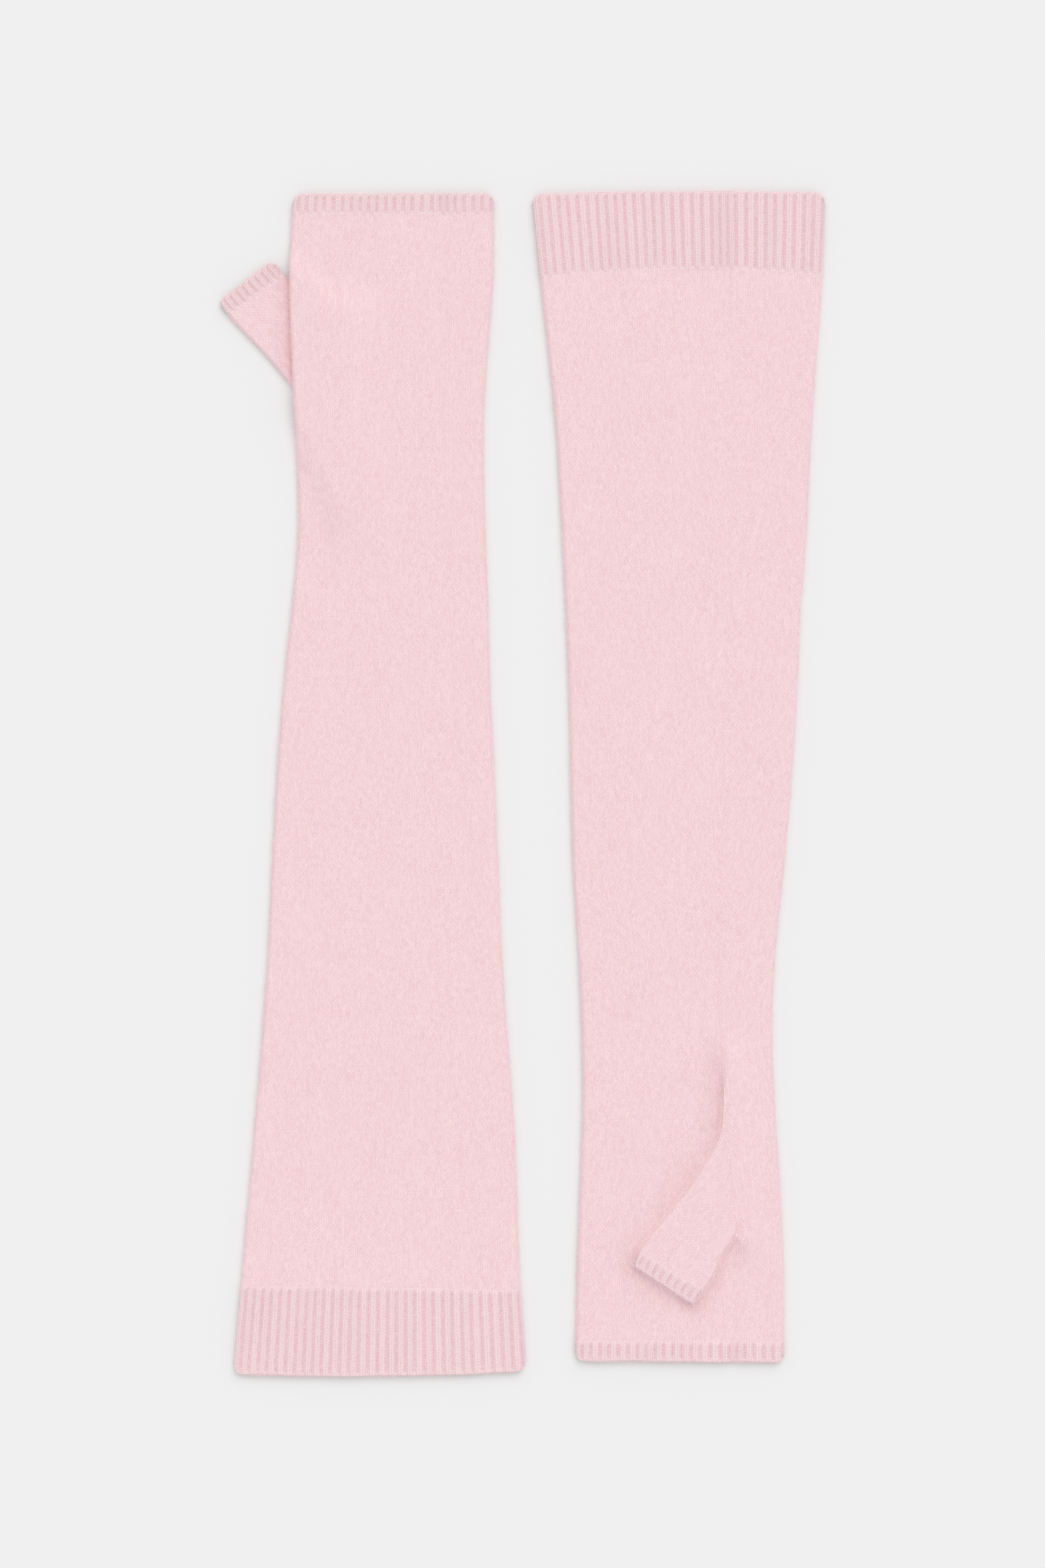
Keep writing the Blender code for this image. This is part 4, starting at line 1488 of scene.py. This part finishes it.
# %% [markdown]
# ## Nap along the edges
#
# Soft wool has no hard outline: short loose fibres stand out of it all round. They are modelled only
# where they show against the ground or the palm, as thin three-sided spikes, and none is longer than a
# stitch. A particle system could grow them, but then each would be a strand of its own at every render.

# %% Edges
FOLD_STEPS = 400
HEM_STEPS = 200
THUMB_STEPS = 60
INSIDE_STATION = 200.0
INSIDE_THUMB = 0.6
THUMB_FOLD_END = 0.97
TIP_START = 0.08
TIP_SHARE = 0.84


class Edge(NamedTuple):
    """A soft edge from above: points along the middle of its fold, the ways out and the fold's radius."""

    points: np.ndarray
    outward: np.ndarray
    radius: float


def edge_of(plan, centre, radius, middle):
    """An edge whose ways out are square to it and lead away from a point inside the piece."""
    run = np.gradient(plan, axis=0)
    out = np.stack([run[:, 1], -run[:, 0]], 1) / np.linalg.norm(run, axis=1, keepdims=True)
    away = np.sign(((plan - centre) * out).sum(1).mean())
    return Edge(np.column_stack([plan, np.broadcast_to(middle, len(plan))]), out * away, radius)


def glove_edges(glove):
    """The two side folds, the two hems and the three sides of the thumb."""
    edges = []
    station = np.linspace(HEM_CORNER, glove.length - HEM_CORNER, FOLD_STEPS)
    inside = (glove.spine_x(INSIDE_STATION), 0.0)
    for share, x in ((0.0, glove.left(station)), (1.0, glove.right(station))):
        y = glove.y(station + glove.row_offset(share, station))
        under, over = lifts(glove, x, station, np.sign(x - glove.line_x(station)), False)
        edges.append(edge_of(np.stack([x, y], 1), inside, FOLD, FOLD + (under + over) / 2))
    for hem in (0.0, glove.length):
        left, right = glove.left(hem), glove.right(hem)
        x = np.linspace(left + HEM_CORNER, right - HEM_CORNER, HEM_STEPS)
        y = glove.y(hem + glove.row_offset((x - left) / (right - left), hem))
        inside = ((left + right) / 2, 0.0)
        edges.append(edge_of(np.stack([x, y], 1), inside, EDGE_RADIUS, BODY_HEIGHT - EDGE_RADIUS))
    share = np.linspace(0, 1, THUMB_STEPS)
    inside = (glove.thumb_fold("l", INSIDE_THUMB) + glove.thumb_fold("r", INSIDE_THUMB)) / 2
    middle = THUMB_FOLD + (0.0 if glove.thumb_beneath else BODY_HEIGHT + SEAM)
    for side in "lr":
        edges.append(edge_of(glove.thumb_fold(side, share * THUMB_FOLD_END), inside, THUMB_FOLD, middle))
    start, end = (glove.thumb_fold(side, 1.0) for side in "lr")
    tip = start + (end - start) * (TIP_START + TIP_SHARE * share[:, None])
    edges.append(edge_of(tip, inside, EDGE_RADIUS, middle + THUMB_FOLD - EDGE_RADIUS))
    return edges


def run_along(edge):
    """Distance along an edge of each of its points."""
    return np.append(0.0, np.cumsum(np.linalg.norm(np.diff(edge.points, axis=0), axis=1)))


edges = {glove.name: glove_edges(glove) for glove in GLOVES}
for name, soft in edges.items():
    print(name, "has", round(sum(run_along(edge)[-1] for edge in soft)), "mm of soft edge")

# %% Loose fibres
FIBRES_PER_MM = 13.0
FIBRE_LONGEST = 2.0
FIBRE_SHORTEST = 0.4
FIBRE_LENGTH_POWER = 2.5
FIBRE_WIDTH = 0.11
FIBRE_SPREAD = 0.5
FIBRE_ROOT = 0.1
FOLD_LOW = -25.0
FOLD_HIGH = 40.0
CORNERS_OF_FOOT = (0.0, 120.0, 240.0)
SPIKE = ((0, 2, 1), (0, 1, 3), (1, 2, 3), (2, 0, 3))
PALM_SEED = 7
BACK_SEED = 11


def unit(vectors):
    """Vectors of length 1 with the same directions."""
    return vectors / np.linalg.norm(vectors, axis=1, keepdims=True)


def fibres(edge, chance):
    """Roots and tips of the fibres along an edge, thrown evenly along it and round its fold."""
    run = run_along(edge)
    count = int(run[-1] * FIBRES_PER_MM)
    at = chance.uniform(0, run[-1], count)
    columns = np.concatenate([edge.points, edge.outward], 1).T
    placed = np.stack([np.interp(at, run, column) for column in columns], 1)
    place, out = placed[:, :3], placed[:, 3:]
    turn = np.radians(chance.uniform(FOLD_LOW, FOLD_HIGH, count))[:, None]
    round_out = edge.radius * (np.cos(turn) - 1) - FIBRE_ROOT
    root = place + np.concatenate([out * round_out, edge.radius * np.sin(turn)], 1)
    way = np.concatenate([out * np.cos(turn), np.sin(turn)], 1)
    way = unit(way + chance.normal(0, FIBRE_SPREAD, (count, 3)))
    length = chance.uniform(0, 1, count) ** FIBRE_LENGTH_POWER
    length = FIBRE_SHORTEST + (FIBRE_LONGEST - FIBRE_SHORTEST) * length
    tip = root + way * length[:, None]
    tip[:, 2] = np.maximum(tip[:, 2], FIBRE_WIDTH)
    return root, tip


def make_nap(glove, seed):
    """A spike for each fibre: three points round its root, in a plane square to it, and one at its tip."""
    chance = np.random.default_rng(seed)
    root, tip = (np.concatenate(part) for part in zip(*(fibres(edge, chance) for edge in edges[glove.name])))
    way = tip - root
    aside = unit(np.cross(way, chance.normal(size=way.shape)))
    other = unit(np.cross(way, aside))
    turn = np.radians(CORNERS_OF_FOOT)[:, None, None]
    foot = root + FIBRE_WIDTH / 2 * (np.cos(turn) * aside + np.sin(turn) * other)
    points = np.concatenate([foot, tip[None]]).transpose(1, 0, 2).reshape(-1, 3)
    faces = (np.array(SPIKE) + 4 * np.arange(len(root))[:, None, None]).reshape(-1, 3)
    return make_solid(f"{glove.name}_nap", points, faces, nap_wool)


naps = [make_nap(PALM_UP, PALM_SEED), make_nap(BACK_UP, BACK_SEED)]

# %% [markdown]
# ## Each piece takes its solid's place
#
# A new piece rides on the body that holds the whole row and hides the plain solid that it stands for. The
# long tubes, arm cuffs and thumbs also print the flat size of their cut as sheets of cloth: the girth of
# the tube by its length.

# %% Rides, replacements and flat sizes
GIRTHS_READ = 50


def girth(width, height):
    """Distance round a flat tube's section."""
    return 2 * (width - height) + np.pi * height


def stand_in(piece, node):
    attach(piece, "root")
    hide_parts(node)


def declare_cloth(piece, girths, length, rests_on, edging):
    """The girths are read at even steps along the piece, and the length is down its middle."""
    area = float(np.mean(girths)) * length * MM * MM
    flat = (float(np.max(girths)) * MM, length * MM)
    print(f"{piece.name}: flat {flat[0] * 1000:.0f} x {flat[1] * 1000:.0f} mm, {area * 1e4:.0f} cm2")


def tube_girths(glove, start, end):
    station = np.linspace(start, end, GIRTHS_READ)
    return girth(glove.right(station) - glove.left(station), BODY_HEIGHT)


def thumb_girths(glove):
    """Girths at even steps down the middle of the thumb, and its length there."""
    start, across_way, width = thumb_chord(glove, np.linspace(0, 1, THUMB_STEPS))
    middle = start + across_way * width[:, None] / 2
    along = np.stack([-across_way[:, 1], across_way[:, 0]], -1)
    run = np.append(0.0, np.cumsum(np.abs((np.diff(middle, axis=0) * along[:-1]).sum(-1))))
    even = np.interp(np.linspace(0, run[-1], GIRTHS_READ), run, width)
    return girth(even, THUMB_HEIGHT), float(run[-1])


for glove in GLOVES:
    tube, thumb = tubes[glove.name], thumbs[glove.name, "tube"]
    hand_band, arm_band = bands[glove.name, "hand"], bands[glove.name, "arm"]
    thumb_band = thumbs[glove.name, "band"]
    stand_in(tube, f"{glove.name}_body")
    stand_in(hand_band, f"{glove.name}_hand_rib")
    stand_in(arm_band, f"{glove.name}_arm_rib")
    stand_in(thumb, f"{glove.name}_thumb")
    stand_in(thumb_band, f"{glove.name}_thumb_rib")
    arm_start = glove.length - glove.arm_rib_depth
    declare_cloth(tube, tube_girths(glove, 0.0, arm_start), arm_start,
                  [thumb] if glove.thumb_beneath else [], [hand_band])
    declare_cloth(arm_band, tube_girths(glove, arm_start, glove.length), glove.arm_rib_depth, [], [])
    declare_cloth(thumb, *thumb_girths(glove), [] if glove.thumb_beneath else [tube], [thumb_band])

for piece in (marks, *naps):
    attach(piece, "root")

# %% [markdown]
# ## Ground, light and camera
#
# The photograph is a plain studio view from straight above on pale grey. A broad soft light from overhead
# with a little more from the top edge leaves faint shadows along the lower edges.

# %% Ground
FLOOR_HALF = 3.0
FLOOR_GREY = (0.80, 0.80, 0.80, 1.0)
FLOOR_ROUGHNESS = 0.95

corners = np.array([[-1, -1, 0], [1, -1, 0], [1, 1, 0], [-1, 1, 0]]) * FLOOR_HALF
floor_mesh = bpy.data.meshes.new("floor")
floor_mesh.from_pydata(corners.tolist(), [], [(0, 1, 2, 3)])
floor = bpy.data.objects.new("floor", floor_mesh)
bpy.context.scene.collection.objects.link(floor)
paper = Recipe("ground_paper").finish(
    Base_Color=FLOOR_GREY, Roughness=FLOOR_ROUGHNESS, Specular_IOR_Level=0.0
)
floor_mesh.materials.append(paper)
print("the ground is", 2 * FLOOR_HALF, "m wide")

# %% Light
SKY = 0.84
LAMP = 0.96
LAMP_SPREAD = 50.0
LAMP_TILT = 35.0
LAMP_TURN = -20.0

world = bpy.data.worlds.new("studio")
bpy.context.scene.world = world
world.use_nodes = True
world.node_tree.nodes["Background"].inputs["Color"].default_value = (1, 1, 1, 1)
world.node_tree.nodes["Background"].inputs["Strength"].default_value = SKY

lamp = bpy.data.lights.new("soft_box", "SUN")
lamp.energy = LAMP
lamp.angle = np.radians(LAMP_SPREAD)
holder = bpy.data.objects.new("soft_box", lamp)
holder.rotation_euler = (np.radians(-LAMP_TILT), 0.0, np.radians(LAMP_TURN))
bpy.context.scene.collection.objects.link(holder)
print("light from the sky", SKY, "and from the lamp", round(LAMP * np.cos(np.radians(LAMP_TILT)) / np.pi, 2))

# %% Camera
IMAGE_HIGH = 2352
MM_PER_PIXEL = 0.2732
LENS = 85.0
SENSOR = 36.0
EDGE_LEVEL = 0.0016
CENTRE_Y = -0.00014
FARTHEST = 20.0

frame_height = IMAGE_HIGH * MM_PER_PIXEL * MM
camera_data = bpy.data.cameras.new("camera")
camera_data.lens = LENS
camera_data.sensor_width = SENSOR
camera_data.clip_end = FARTHEST
camera = bpy.data.objects.new("camera", camera_data)
camera.location = (0.0, CENTRE_Y, frame_height * LENS / SENSOR + EDGE_LEVEL)
bpy.context.scene.collection.objects.link(camera)
bpy.context.scene.camera = camera
bpy.context.scene.view_settings.view_transform = "Standard"
print("camera", round(camera.location.z, 3), "m above the ground")

# %% The end
print("the scene is ready")
